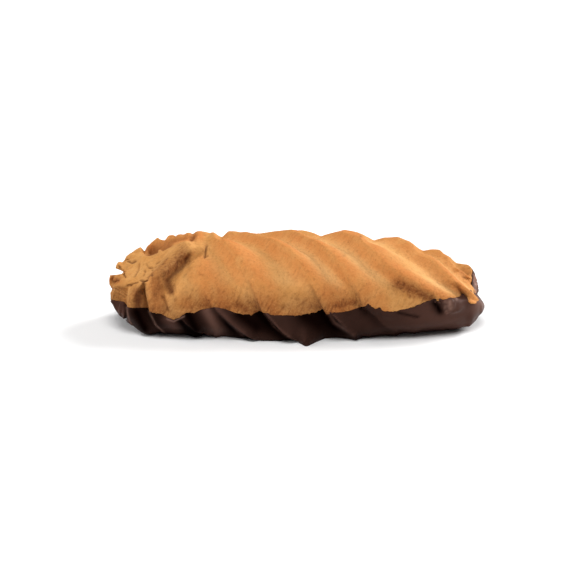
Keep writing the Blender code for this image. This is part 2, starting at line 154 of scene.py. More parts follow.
dip = {
    # the chocolate's edge along the front, in pixels of the picture
    "line": (
        (100, 300), (112, 299.6), (124, 301.6), (127, 307), (134, 307.6), (147, 306.8), (149.5, 311),
        (155, 312), (162, 313.8), (168, 317), (173.5, 319), (179, 317.4), (184, 313.6), (186, 311.4),
        (194, 312.8), (199, 310.4), (204, 308.6), (214, 306.8), (224, 308.8), (235, 312.6),
        (243, 314.4), (251, 314.4), (256, 312.6), (260, 310.8), (265.5, 312), (273, 314.6),
        (283, 314.8), (296, 315), (305, 314.2), (314, 312.4), (320, 310.6), (325, 309.6), (330, 311.4),
        (336, 312.4), (346, 311.6), (353, 309), (360, 307), (365, 305.6), (368, 303.2), (371, 306),
        (376.6, 308.6), (379.6, 306.6), (382.6, 311), (389, 311.4), (395.6, 311), (409, 307.2),
        (417, 304.4), (424, 302), (434, 298.6), (440, 298.4), (445, 299.2), (451, 298), (459, 296),
        (465, 292), (471, 288), (473, 278), (476, 274), (490, 272)),
    "back": 7.3,                   # its height at the back
    # station, width and rise of its waves there
    "backWaves": ((-26.8, 2.6, -1.1), (-2.5, 6.0, -1.1), (18.5, 3.0, -0.5), (31.5, 5.0, 1.2)),
    "climb": (34.8, 39.4, 3.8),    # it climbs over the right tip: from, to and how far
    "front": (-4.0, 1.0),          # mm in front of the middle, where the picture's line takes over
    "ragged": 0.34,
    "raggedness": ((22.0, 3.0, 1.0), (60.0, 9.0, 1.3)),     # how fine each is, its seed and its strength
    "sunk": 0.12,                  # the edge starts this far inside the biscuit
    "lip": 0.24,                   # how proud it stands
    "lipWidth": 0.45,
    "thick": 0.42,
    "thickens": (0.4, 3.0),        # from the lip to its full thickness between these depths
}

meshing = {
    "samples": 6000,               # along the finger, to space its rings
    "fineStations": (-26.0, -14.0),    # rings lie closer left of these
    "tipMargin": 0.02,             # the skin's direction is taken this far inside the tips
    "nudge": 0.001,                # steps along X and round the section that give it
    "turnNudge": 0.05,
    "inset": 0.02,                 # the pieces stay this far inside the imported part's box
}

tiny = 1e-12                       # keeps a division by nothing from failing


def smooth(value, low, high):
    share = np.clip((value - low) / (high - low), 0.0, 1.0)
    return share * share * (3.0 - 2.0 * share)


def window(value, rise, fall):
    return smooth(value, *rise) * (1.0 - smooth(value, *fall))


def bell(value, middle, width):
    return np.exp(-((value - middle) / width) ** 2)


def unit(vectors):
    return vectors / np.maximum(np.linalg.norm(vectors, axis=-1, keepdims=True), tiny)


# The camera, also used to place what the picture shows

tilt = math.radians(camera["elevation"])
forward = np.array([0.0, math.cos(tilt), -math.sin(tilt)])
upward = np.array([0.0, math.sin(tilt), math.cos(tilt)])
rightward = np.array([1.0, 0.0, 0.0])
eye = np.array(camera["aim"]) - forward * camera["distance"]


def inPicture(points):
    away = points - eye
    depth = away @ forward
    scale = camera["distance"] / camera["pixel"] / depth
    half = camera["side"] / 2
    return np.stack([half + away[..., 0] * scale, half - (away @ upward) * scale], axis=-1)


def facingEye(normals, low, high):
    return smooth(-(normals @ forward), low, high)


# The skin of the finger

def taper(x, power):
    left = np.clip((finger["caps"][0] - x) / (finger["caps"][0] - finger["ends"][0]), 0.0, 1.0)
    right = np.clip((x - finger["caps"][1]) / (finger["ends"][1] - finger["caps"][1]), 0.0, 1.0)
    return (1.0 - np.maximum(left, right) ** power) ** (1.0 / power)


def plainBody(x, angle):
    across, up = np.cos(np.radians(angle)), np.sin(np.radians(angle))
    tip = np.where(x < 0.0, *finger["tips"])
    side = taper(x, finger["sidePower"])
    top = tip + (finger["crown"] - tip) * taper(x, np.where(x < 0.0, *finger["crownPowers"]))
    widest = tip + (finger["widest"] - tip) * side
    bottom = tip * (1.0 - side) - finger["cut"] * side
    power = 2.0 + (finger["basePower"] - 2.0) * smooth(-up, 0.0, finger["baseSquared"])
    across = np.sign(across) * np.abs(across) ** (2.0 / power)
    reach = np.where(up > 0.0, top - widest, widest - bottom)
    height = np.sign(up) * np.abs(up) ** (2.0 / power)
    return np.stack([x, -finger["halfWidth"] * side * across, widest + reach * height], axis=-1)


def outward(x, angle):
    margin, nudge, turn = meshing["tipMargin"], meshing["nudge"], meshing["turnNudge"]
    inside = np.clip(x, finger["ends"][0] + margin, finger["ends"][1] - margin)
    along = plainBody(inside + nudge, angle) - plainBody(inside - nudge, angle)
    across = plainBody(inside, angle + turn) - plainBody(inside, angle - turn)
    return unit(np.cross(along, across))


def crestStations():
    last = ridges["stations"][-1]
    behind = [last + ridges["spacing"] * (n + 1) for n in range(ridges["backRidges"])]
    return list(ridges["stations"]) + behind


def crestLine(ridge, station):
    # where this crest lies along X, for each degree round the section
    line = []
    apart, layer = ridges["wobbleSeed"]
    reach = ridges["crownSpread"] * math.sqrt(math.pi) / 2.0
    start = math.erf((ridges["angle"] - ridges["crownAngle"]) / ridges["crownSpread"])
    for angle in turnTable:
        crown = reach * (math.erf((angle - ridges["crownAngle"]) / ridges["crownSpread"]) - start)
        place = station + ridges["twist"] * (ridges["angle"] - angle) - ridges["crownTwist"] * crown
        if ridge >= ridges["firstOblique"]:
            place += ridges["obliqueTwist"] * min(max(ridges["angle"] - angle, 0.0), ridges["angle"])
        if ridge >= ridges["firstLeaning"]:
            low, high = ridges["leanAngles"]
            place -= ridges["leanTwist"] * (min(max(angle, low), high) - ridges["angle"])
        high, low = ridges["footAngles"]
        place += ridges["footTwist"] * (high - min(max(angle, low), high))
        uneven = noise.noise(Vector((angle / ridges["wobbleLength"], ridge * apart, layer)))
        line.append(place + ridges["wobble"] * uneven)
    return line


turnTable = range(-95, 276)        # degrees, from just past the underside and once round
crestTable = [crestLine(ridge, station) for ridge, station in enumerate(crestStations())]


def betweenRidges(x, angle):
    # 0 at the crest on the left to 1 at the one on the right, their distance, and which is on the left
    share, gap, which = np.zeros_like(x), np.full_like(x, ridges["spacing"]), np.zeros(x.shape, int)
    crest = np.interp(angle, turnTable, crestTable[0])
    for ridge, line in enumerate(crestTable[1:]):
        following = np.interp(angle, turnTable, line)
        here = (x >= crest) & (x < following)
        share = np.where(here, (x - crest) / (following - crest), share)
        gap = np.where(here, following - crest, gap)
        which = np.where(here, ridge, which)
        crest = following
    return share, gap, which


def curlStation(angle):
    # rounded by taking the mean over a few degrees
    spread = leftEnd["curlRounding"]
    return np.mean([np.interp(angle + off * spread, leftEnd["curlAngles"], leftEnd["curlStations"])
                    for off in (-1.0, -0.5, 0.0, 0.5, 1.0)], axis=0)


def pastCurl(x, angle):
    start = np.minimum(curlStation(angle), leftEnd["ridgesStart"])
    later = leftEnd["crownStart"] * smooth(angle, *leftEnd["crownAngles"])
    return smooth(x - start - later, *leftEnd["ridgesBegin"])


def ridgeRelief(x, angle):
    share, _, which = betweenRidges(x, angle)
    low, high = ridges["valley"]
    valley = low + (high - low) * smooth(angle, *ridges["valleyAngles"])
    fromCrest = np.where(share < valley, share / valley, (1.0 - share) / (1.0 - valley))
    rounding, blunt = ridges["rounding"], math.sqrt(ridges["rounding"])
    fromCrest = (np.sqrt(fromCrest ** 2 + rounding) - blunt) / (math.sqrt(1.0 + rounding) - blunt)
    scooped = (1.0 - fromCrest) ** ridges["sharpness"]
    terraced = 0.5 + 0.5 * np.cos(math.pi * fromCrest)
    terrace = np.where(share < valley, ridges["terrace"], 0.0)
    strengths = np.array(ridges["strengths"])
    strength = np.where(share < valley, strengths[which], strengths[which + 1])
    profile = (scooped + (terraced - scooped) * terrace) * strength - ridges["mean"]
    fade = smooth(angle, *ridges["fade"]) * smooth(180.0 - angle, *ridges["fade"])
    return ridges["height"] * profile * fade * pastCurl(x, angle) * taper(x, ridges["endPower"])


def curlRelief(x, angle):
    past = x - curlStation(angle)
    ending = smooth(leftEnd["curlEnd"] - angle, 0.0, leftEnd["curlEndFade"])
    before = smooth(past, -leftEnd["rollWidth"], 0.0) ** leftEnd["rollPower"]
    beyond = np.maximum(past - leftEnd["step"], 0.0) / leftEnd["grooveWidth"]
    after = np.exp(-beyond ** leftEnd["groovePower"])
    return -leftEnd["groove"] * smooth(angle, *leftEnd["fade"]) * ending * before * after


def tornFace(point, x, angle):
    face = (leftEnd["face"][2] + leftEnd["slope"][0] * (point[..., 0] - leftEnd["face"][0])
            + leftEnd["slope"][1] * (point[..., 1] - leftEnd["face"][1]))
    above = np.maximum(point[..., 2] - face, 0.0)
    half = 0.5 * leftEnd["step"]
    return above * smooth(curlStation(angle) - x, -half, half)


def pocketDepth(point):
    depth = np.zeros(point.shape[:-1])
    for x, y in leftEnd["pockets"]:
        away = np.hypot(point[..., 0] - x, point[..., 1] - y) / leftEnd["pocketRadius"]
        depth = np.maximum(depth, leftEnd["pocketDepth"] * np.exp(-away ** leftEnd["pocketPower"]))
    return depth * smooth(point[..., 2], *leftEnd["pocketHeights"])


def notchPull(point):
    outX = leftEnd["toothCentre"][0] - point[..., 0]
    outY = point[..., 1] - leftEnd["toothCentre"][1]
    turn = np.degrees(np.arctan2(outY, outX))
    pull = np.zeros(point.shape[:-1])
    for deepest, before, after, depth in leftEnd["notches"]:
        away = turn - deepest
        away = np.where(away < 0.0, -away / before, away / after)
        pull = np.maximum(pull, depth * np.clip(1.0 - away, 0.0, 1.0) ** leftEnd["notchPower"])
    rim = smooth(np.hypot(outX, outY), *leftEnd["notchRim"])
    least = leftEnd["notchLow"]
    low = least + (1.0 - least) * smooth(point[..., 2], *leftEnd["notchHeights"])
    return pull * rim * low * (1.0 - smooth(point[..., 0], *leftEnd["notchStations"]))


def skin(x, angle, offset, floor=0.0, share=1.0):
    plain = plainBody(x, angle)
    relief = ridgeRelief(x, angle) + curlRelief(x, angle)
    point = plain + outward(x, angle) * (relief * share + offset)[..., None]
    point[..., 2] -= tornFace(point, x, angle) + pocketDepth(plain)
    out = unit(plain[..., :2] - np.array(leftEnd["toothCentre"]))
    point[..., :2] -= out * (notchPull(plain) * share)[..., None]
    point[..., 2] = np.maximum(point[..., 2], floor)
    return point + np.array(finger["shift"])


def belowRim(x, angle):
    # how far below the chocolate's edge a place lies: by the picture in front, by height at the back
    place = skin(x, angle, 0.0)
    picture = inPicture(place)
    line = np.array(dip["line"], float)
    inFront = (picture[..., 1] - np.interp(picture[..., 0], line[:, 0], line[:, 1])) * camera["pixel"]
    edge = np.full_like(x, dip["back"])
    for station, width, rise in dip["backWaves"]:
        edge = edge + rise * bell(x, station, width)
    start, end, climb = dip["climb"]
    atBack = edge + climb * smooth(x, start, end) - plainBody(x, angle)[..., 2]
    return atBack + (inFront - atBack) * smooth(-place[..., 1], *dip["front"])


# Forms placed by the picture, in its pixels

outlines = (
    # a side of the finger as the picture shows it, and how far in a correction reaches
    {"side": "left", "reach": 6.0, "line": (
        (273, 111), (275, 109.6), (280, 108.8), (285, 109.6), (288, 112.4), (291, 112.4), (294, 110),
        (298, 109.8), (303, 111), (308, 113.5), (313, 117), (317, 121), (322, 126.5))},
    {"side": "top", "reach": 7.0, "line": (
        (115.5, 268), (116.8, 262), (119, 260.8), (122, 261.8), (124.5, 260), (126, 256), (130, 253),
        (133, 251), (137, 248.6), (140.5, 246.8), (143, 249), (144.6, 251), (146, 246.6), (149, 243.4),
        (153, 240.6), (157.5, 237), (160, 239), (165, 239), (168, 235), (172, 234), (176, 235),
        (180, 233.6), (184, 234), (187, 232.6), (192, 232.4), (196, 231.4), (201, 231), (206, 232),
        (210, 233), (213.6, 231.8), (217, 234.4), (222, 237.2), (225, 234), (228.5, 230.8),
        (234, 231.2), (240, 232), (246, 231.6), (252, 233), (262, 233), (276, 231), (290, 229.4),
        (304, 230.4), (314, 233), (321, 236.4), (330, 233), (345, 229.6), (358, 232), (368, 237),
        (374, 240), (384, 237.4), (398, 236.4), (410, 241), (419, 248.6), (423, 250.6), (432, 248.6),
        (440, 249), (443.5, 253), (450, 256.6), (455.5, 262.4), (462, 263.6), (468, 264.2),
        (471.6, 267), (473.2, 271), (474.4, 275), (477, 279))},
    {"side": "right", "reach": 6.0, "line": (
        (278, 477), (283, 478.6), (290, 478), (294, 477.4), (298, 480.4), (302, 483.4), (307, 485),
        (311, 483.6), (316, 479.6), (321, 474.6), (326, 469))},
    {"side": "bottom", "reach": 9.0, "line": (
        (121, 317), (126, 322), (132, 326), (138, 330.4), (144, 334), (150, 334.6), (158, 333.6),
        (176, 334.6), (186, 335), (195, 337.4), (200, 336.6), (204, 334.6), (210, 336), (216, 337.8),
        (222, 336.4), (240, 338), (262, 340.6), (280, 340.8), (292, 339.4), (297, 341.6), (306, 346.6),
        (315, 342.6), (325, 338.6), (345, 337.8), (360, 339), (369, 339.6), (383, 336.6), (398, 335),
        (415, 335.8), (421, 334.2), (440, 332), (456, 329.2), (464, 327), (468, 326.4), (472, 323.6),
        (476, 319.6), (480, 315.4))},
)

gaps = (
    # mouth and bottom of each open gap between two teeth, and half its width
    ((107.0, 271.4), (126.0, 272.6), 3.4),
)

folds = (
    # the skin sinks evenly from one line to the other, and steps back out past it
    {"depth": 4.2, "runsOut": (312.0, 338.0),
     "from": ((141.5, 283), (136, 292), (131, 301), (130, 325)),
     "to": ((144.6, 283), (144.8, 290), (147.8, 306), (148.6, 311), (151.2, 317.5), (155.6, 325.4),
            (164.4, 333.4))},
    {"depth": 2.0, "runsOut": (306.0, 320.0),
     "from": ((113, 285), (113, 312)),
     "to": ((128.5, 287), (126.3, 298), (126.4, 307), (127.2, 314), (128.8, 320.4), (131.5, 325.2))},
)

# how these forms are laid on the skin, in pixels unless a note says otherwise
pictureFit = {
    "span": (100, 500),            # the finger lies inside these, along and across
    "past": 4.0,                   # an outline is followed this far past its ends
    "step": 0.25,
    "rounding": 13,                # over this many steps
    "fadeOut": 3.5,                # past its ends a correction runs out over this
    "fadeIn": 1.0,                 # and it is whole this far inside them
    "samples": (1500, 420),        # of the plain finger, along it and round it
    "turns": (-90.0, 269.0),       # degrees
    "coatedFrom": (0.2, 1.0),      # mm below the edge, where the chocolate's thickness counts
    "gapPower": 0.6,               # under 1 a gap is rounder inside
    "gapFrom": -0.6,               # shares of its length, from its mouth
    "foldLeast": 0.5,
    "foldPower": 1.2,
    "foldBegins": (-1.0, 6.0),
    "foldStep": (-0.4, 0.9),
    "foldFront": (0.0, 3.0),       # mm in front of the middle
}


def outlineOf(picture, along):
    # lowest and highest value across, for each pixel along
    places = np.arange(*pictureFit["span"])
    across = 1 - along
    row = np.clip(np.rint(picture[:, along]).astype(int) - places[0], 0, len(places) - 1)
    least, most = np.full(len(places), np.inf), np.full(len(places), -np.inf)
    np.minimum.at(least, row, picture[:, across])
    np.maximum.at(most, row, picture[:, across])
    seen = np.isfinite(most)
    return places[seen], least[seen], most[seen]


def outlineShift(picture, outline, base):
    fit, along = pictureFit, 1 if outline["side"] in ("left", "right") else 0
    line = np.array(outline["line"], float)
    first, last = line[0, 0], line[-1, 0]
    places, least, most = base
    old = np.interp(picture[:, along], places, least if outline["side"] in ("left", "top") else most)
    steps = np.arange(first - fit["past"], last + fit["past"], fit["step"])
    soft = np.hanning(fit["rounding"]) / np.hanning(fit["rounding"]).sum()
    wanted = np.pad(np.interp(steps, line[:, 0], line[:, 1]), fit["rounding"] // 2, mode="edge")
    shift = np.interp(picture[:, along], steps, np.convolve(wanted, soft, mode="valid")) - old
    inRange = window(picture[:, along], (first - fit["fadeOut"], first + fit["fadeIn"]),
                     (last - fit["fadeIn"], last + fit["fadeOut"]))
    return shift * bell(picture[:, 1 - along], old, outline["reach"]) * inRange


def moveOutline(points, outline, base):
    shift = outlineShift(inPicture(points), outline, base) * camera["pixel"]
    if outline["side"] in ("left", "right"):
        move = rightward
    elif outline["side"] == "top":
        move = -upward
    else:
        move = np.array([0.0, -1.0 / math.sin(tilt), 0.0])      # along the floor
    return points + shift[:, None] * move


def outlineBases():
    # the finger's own outline, before each correction
    along, around = pictureFit["samples"]
    x, angle = np.meshgrid(np.linspace(*finger["ends"], along), np.linspace(*pictureFit["turns"], around))
    x, angle = x.ravel(), angle.ravel()
    points = skin(x, angle, dip["thick"] * smooth(belowRim(x, angle), *pictureFit["coatedFrom"]))
    bases = []
    for outline in outlines:
        base = outlineOf(inPicture(points), 1 if outline["side"] in ("left", "right") else 0)
        bases.append(base)
        points = moveOutline(points, outline, base)
    return bases


def openGaps(points):
    picture = inPicture(points)
    for mouth, bottom, half in gaps:
        mouth, bottom = np.array(mouth), np.array(bottom)
        line = bottom - mouth
        along = (picture - mouth) @ line / (line @ line)
        aside = np.abs((picture - mouth) @ np.array([-line[1], line[0]])) / np.linalg.norm(line)
        pull = np.clip(1.0 - along, 0.0, 1.0) * (along > pictureFit["gapFrom"]) * camera["pixel"]
        pull = pull * np.clip(1.0 - aside / half, 0.0, 1.0) ** pictureFit["gapPower"]
        points = points + pull[:, None] * (line[0] * rightward - line[1] * upward)
    return points


def foldDepth(picture):
    fit, depth = pictureFit, np.zeros(len(picture))
    for fold in folds:
        start, end = np.array(fold["from"], float), np.array(fold["to"], float)
        left = np.interp(picture[:, 1], start[:, 1], start[:, 0])
        right = np.interp(picture[:, 1], end[:, 1], end[:, 0])
        share = np.clip((picture[:, 0] - left) / np.maximum(right - left, fit["foldLeast"]), 0.0, 1.0)
        step = 1.0 - smooth(picture[:, 0] - right, *fit["foldStep"])
        begun = smooth(picture[:, 1] - start[0, 1], *fit["foldBegins"])
        ended = smooth(picture[:, 1], *fold["runsOut"])
        depth += fold["depth"] * share ** fit["foldPower"] * step * begun * (1.0 - ended)
    return depth


def shapeByPicture(points):
    for outline, base in zip(outlines, bases):
        points = moveOutline(points, outline, base)
    points = openGaps(points)
    inFront = smooth(-points[:, 1], *pictureFit["foldFront"])
    points = points + (foldDepth(inPicture(points)) * inFront)[:, None] * forward
    # what has sunk below the floor comes back up along the line of sight
    return points + (np.minimum(points[:, 2], 0.0) / math.sin(tilt))[:, None] * forward


bases = outlineBases()


# Meshes

def closedGrid(name, segments, rings):
    # rings of points round X, closed by a single point at each end
    ring = np.concatenate([[0], np.repeat(np.arange(1, rings), segments), [rings]])
    turn = np.concatenate([[0.0], np.tile(np.arange(segments) * 360.0 / segments, rings - 1), [0.0]])
    here = np.arange(segments)
    beside = (here + 1) % segments
    row = 1 + np.arange(rings - 2)[:, None] * segments
    quads = np.stack([row + here, row + beside, row + segments + beside, row + segments + here], axis=-1)
    last = len(ring) - 1
    first = last - segments
    ends = [(0, 1 + beside[n], 1 + here[n]) for n in here]
    ends += [(last, first + here[n], first + beside[n]) for n in here]
    mesh = bpy.data.meshes.new(name)
    mesh.from_pydata(np.zeros((len(ring), 3)), [], quads.reshape(-1, 4).tolist() + ends)
    return mesh, ring, turn


def stationsAlong(count, fine):
    phase = np.linspace(0.0, math.pi, meshing["samples"])
    low, high = finger["ends"]
    x = low + (high - low) * (1.0 - np.cos(phase)) / 2.0
    step = np.hypot(np.diff(x), np.diff(finger["halfWidth"] * taper(x, finger["sidePower"])))
    step *= 1.0 + fine * (1.0 - smooth(x[:-1], *meshing["fineStations"]))
    run = np.concatenate([[0.0], np.cumsum(step)])
    return np.interp(np.linspace(0.0, run[-1], count), run, x)


def writePoints(mesh, points):
    low, high = np.array(cadBox[0]) / mm + meshing["inset"], np.array(cadBox[1]) / mm - meshing["inset"]
    low[2] = 0.0                   # the base is on the floor
    kept = np.clip(points, low, high) * mm
    mesh.vertices.foreach_set("co", kept.astype(np.float32).ravel())
    mesh.update()


def normalsOf(mesh):
    normals = np.zeros(len(mesh.vertices) * 3, np.float32)
    mesh.vertices.foreach_get("normal", normals)
    return normals.reshape(-1, 3).astype(float)


def faceOut(mesh):
    solid = bmesh.new()
    solid.from_mesh(mesh)
    bmesh.ops.recalc_face_normals(solid, faces=solid.faces)
    solid.to_mesh(mesh)
    solid.free()
    mesh.shade_smooth()


def paint(mesh, name, values):
    layer = mesh.attributes.new(name, "FLOAT", "POINT")
    layer.data.foreach_set("value", np.clip(values, 0.0, 1.0).astype(np.float32))


def roughness(points, size, seed):
    # uneven noise between about -1 and 1, with features of this size
    offset = Vector((seed * 7.3, seed * 3.1, seed * 5.7))
    return np.array([noise.noise(Vector(p) / size + offset) for p in points])


def unevenness(points, layers, seedShift=0.0):
    return sum(height * roughness(points, size, size + seedShift) for size, height in layers)


def addPiece(name, data):
    piece = bpy.data.objects.new(name, data)
    bpy.context.scene.collection.objects.link(piece)
    return piece


def nearPath(picture, path):
    # distance in pixels to a line drawn on the picture, and how far along it
    path = np.array(path, float)
    best, along = np.full(len(picture), np.inf), np.zeros(len(picture))
    steps = np.linalg.norm(np.diff(path, axis=0), axis=1)
    run = np.concatenate([[0.0], np.cumsum(steps)])
    for n in range(len(path) - 1):
        line = path[n + 1] - path[n]
        share = np.clip((picture - path[n]) @ line / (line @ line), 0.0, 1.0)
        away = np.linalg.norm(picture - path[n] - share[:, None] * line, axis=1)
        nearer = away < best
        best = np.where(nearer, away, best)
        along = np.where(nearer, (run[n] + share * steps[n]) / run[-1], along)
    return best, along


def closeTo(picture, path, half):
    # 1 on the path, fading out on both sides of it
    return bell(nearPath(picture, path)[0], 0.0, half)


# the highest of the values and of marks along paths: browning with painted shade, toasted places, painted
# highlights
def raisedNearPaths(values, picture, pathMarks):
    for path, half, amount in pathMarks:
        values = np.maximum(values, amount * closeTo(picture, path, half))
    return values


# Creases, cracks and lobes of the biscuit, with painted shade in cracks, grooves and hollows

# each has its path on the picture, half its width in pixels, how far it lifts the skin in mm (or sinks
# it, below 0) and how dark its painted shade is
biscuitMarks = (
    # the curl: its bright edge, the groove under it in painted shade, the fold beside it in painted shade
    (((188, 250), (174, 257), (161, 271), (153, 278)), 4.2, 0.85, 0.0),
    (((189, 255), (185.6, 262.4), (180, 268.6), (173, 275), (168.6, 281)), 2.0, -0.35, 0.66),
    (((184.6, 258), (178.6, 263), (171.6, 269.6), (165.6, 277)), 4.6, 0.0, 0.12),
    (((177.3, 262.4), (177.8, 264.2)), 1.4, -0.2, 0.55),
    (((166.6, 281), (166.6, 286)), 3.6, 0.0, 0.45),
    (((168.6, 281), (169, 287), (171, 292)), 2.4, -0.2, 0.5),
    (((188, 262), (188.6, 270), (184, 276)), 2.6, -0.15, 0.2),
    (((171, 253.4), (181, 249.6), (191, 246.4)), 3.0, 0.5, 0.0),
    (((163.0, 287), (163.4, 296)), 1.7, -0.35, 0.30),
    (((163.4, 296), (166, 305), (168.0, 311)), 1.7, -0.45, 0.55),
    (((158.6, 288), (159.4, 299), (163, 309)), 5.0, -0.15, 0.26),
    (((171.5, 288), (172.5, 294), (175, 300)), 2.2, -0.2, 0.20),
    (((174, 284), (175.5, 290)), 0.9, -0.12, 0.25),
    (((170, 309), (180, 313), (190, 309)), 3.0, 0.25, 0.0),
    # the slit beside the first full ridge, in painted shade
    (((206.9, 245.6), (205.2, 253), (204.7, 256.6)), 1.2, -0.45, 0.72),
    (((206.4, 245), (204.4, 254)), 3.2, 0.0, 0.16),
    (((204.7, 256.6), (207.8, 255.4)), 0.9, -0.4, 0.5),
    # the torn top: its raised fold, then cracks, pores and the recess between two teeth in painted shade
    (((143, 259.5), (155, 254.5), (170, 251), (191, 245.7)), 3.2, 0.55, 0.0),
    (((161, 252), (162.4, 248.4)), 1.5, 0.7, 0.0),
    (((150.6, 253.4), (159.6, 250)), 2.2, 0.0, 0.55),
    (((164.4, 248.6), (169, 244.4)), 1.8, 0.0, 0.40),
    (((171.5, 245.7), (186, 241.6)), 1.6, 0.3, 0.0),
    (((141, 279.8), (144, 280.6), (147, 280)), 1.1, -0.5, 0.8),
    (((148.3, 278), (151, 276.4), (153.6, 276.8)), 0.9, -0.4, 0.6),
    (((142.6, 281), (143.6, 284.4)), 1.3, -0.25, 0.7),
    (((127.8, 285.4), (130.4, 285)), 1.1, -0.4, 0.75),
    (((130.4, 285), (133, 283.6), (137.6, 282.2)), 0.8, -0.25, 0.6),
    (((143, 288), (142.6, 296), (143.6, 309)), 3.8, 0.0, 0.38),
    (((140.6, 293), (138.4, 300), (137, 309)), 4.4, 0.0, 0.70),
    (((139.4, 263.6), (138.2, 269.6), (134.6, 276)), 0.9, -0.25, 0.35),
    (((149, 267.2), (152, 267.4)), 0.9, -0.35, 0.6),
    (((152.4, 270.2), (153, 270.8)), 0.9, -0.3, 0.5),
    (((155, 267.4), (157, 266)), 0.9, -0.3, 0.5),
    (((144.6, 270), (144.9, 271.4)), 0.9, -0.3, 0.45),
    (((143.4, 275.4), (144.2, 273.6)), 0.8, -0.25, 0.4),
    (((146.6, 264), (147.4, 265.6)), 0.8, -0.25, 0.4),
    (((156.6, 263.2), (159.6, 261.2)), 0.9, -0.25, 0.45),
    (((163.4, 267.4), (164.4, 267)), 0.9, -0.2, 0.35),
    (((168.3, 261.8), (168.9, 261.4)), 0.9, -0.2, 0.35),
    (((124.2, 274.8), (125.6, 276.8)), 0.9, -0.35, 0.7),
    # teeth at the far left, from the front round to the back, with painted shade between them and in their
    # fine grooves
    (((113, 280.6), (116.6, 279.4)), 3.0, -0.9, 0.55),
    (((119.2, 266.2), (119.8, 266.6)), 1.1, -0.35, 0.7),
    (((126.8, 260), (131.6, 262.6), (135.4, 260.6)), 1.1, -0.4, 0.75),
    (((116, 289), (127, 295.5)), 0.7, -0.15, 0.35),
    (((114.6, 291.4), (125, 297.4)), 0.7, -0.15, 0.3),
    (((117.5, 286.8), (127, 292.6)), 0.7, -0.12, 0.25),
    # along the middle: fine lips low on two ridges with painted shade beside them, a dimple in painted
    # shade, a crumb, a speck
    (((252, 281), (258.6, 296), (263.8, 310.6)), 1.5, 0.45, 0.0),
    (((248.6, 282), (255, 296), (260.6, 310)), 2.0, -0.15, 0.24),
    (((313, 284), (320, 298), (326, 310), (333, 321)), 1.5, 0.45, 0.0),
    (((309.6, 286), (316.6, 298), (322.6, 310)), 2.0, -0.15, 0.22),
    (((342.4, 254), (343.8, 254.8)), 2.0, -0.25, 0.15),
    (((344.6, 260), (345.6, 260.4)), 1.4, 0.25, 0.0),
    (((360.4, 236), (361.8, 235.6)), 1.1, -0.2, 0.5),
    # right end: painted shade in the hollow under the knob and in the gap beside the finger
    (((462, 272), (466, 273.6)), 2.6, -0.4, 0.24),
    (((463, 276.6), (467, 277)), 1.5, -0.3, 0.35),
    (((457, 284), (460, 289.6), (464, 295)), 1.6, -0.4, 0.4),
)

hollows = (
    # pockets behind the torn top: path, half width in pixels, how far they sink in mm, how dark their
    # painted shade is
    (((150.5, 251), (158, 248)), 5.0, 1.3, 0.62),
    (((161.5, 247.5), (168.5, 243)), 4.4, 1.1, 0.5),
    (((170.4, 239.6), (175, 238.4)), 2.8, 0.7, 0.4),
    (((178, 238.6), (186, 236.8)), 2.2, 0.4, 0.3),
    (((191.6, 237.4), (193.6, 234.6)), 2.6, 0.9, 0.6),
)

lobes = (
    # rounded lobes laid over the rest: path, half width in pixels, height in mm, share of it at the root
    (((455.6, 279), (463, 284.6), (469.4, 291), (473.4, 298.6)), 6.0, 2.0, 0.25),
    (((458, 267), (466, 266.6), (470, 270), (470.4, 275)), 3.6, 1.0, 0.6),
)

marking = {
    "facing": (0.02, 0.25),        # marks are made where the skin faces the eye at least this much
    "upFacing": (0.0, 0.5),        # and hollows where it faces up
    "lobeRoot": 0.7,               # a lobe is at its height after this share of its length
    "lobeEdge": 0.4,
    "lobeFront": (-3.0, 1.0),      # mm in front of the middle
}


def lobeHeights(picture):
    # how far each point is lifted towards the eye, and where the lobes lie over the chocolate
    height, covered = np.zeros(len(picture)), np.zeros(len(picture))
    for path, half, top, root in lobes:
        away, along = nearPath(picture, path)
        dome = np.sqrt(np.clip(1.0 - (away / half) ** 2, 0.0, 1.0))
        rise = root + (1.0 - root) * smooth(along, 0.0, marking["lobeRoot"])
        height = np.maximum(height, top * dome * rise)
        covered = np.maximum(covered, smooth(dome, 0.0, marking["lobeEdge"]))
    return height, covered


def markSkin(points, normals):
    picture = inPicture(points)
    facing = facingEye(normals, *marking["facing"])
    # dark: painted shade in cracks, creases, grooves, pockets and gaps
    lift, sink, dark = np.zeros((3, len(points)))
    for path, half, height, darkness in biscuitMarks:
        strength = closeTo(picture, path, half) * facing
        lift += height * strength
        dark = np.maximum(dark, darkness * strength)
    for path, half, depth, darkness in hollows:
        strength = closeTo(picture, path, half) * smooth(normals[:, 2], *marking["upFacing"])
        sink = np.maximum(sink, depth * strength)
        dark = np.maximum(dark, darkness * strength)
    toEye = lobeHeights(picture)[0] * smooth(-points[:, 1], *marking["lobeFront"])
    moved = points + normals * lift[:, None] - forward * toEye[:, None]
    moved[:, 2] -= sink
    return moved, dark


# The biscuit

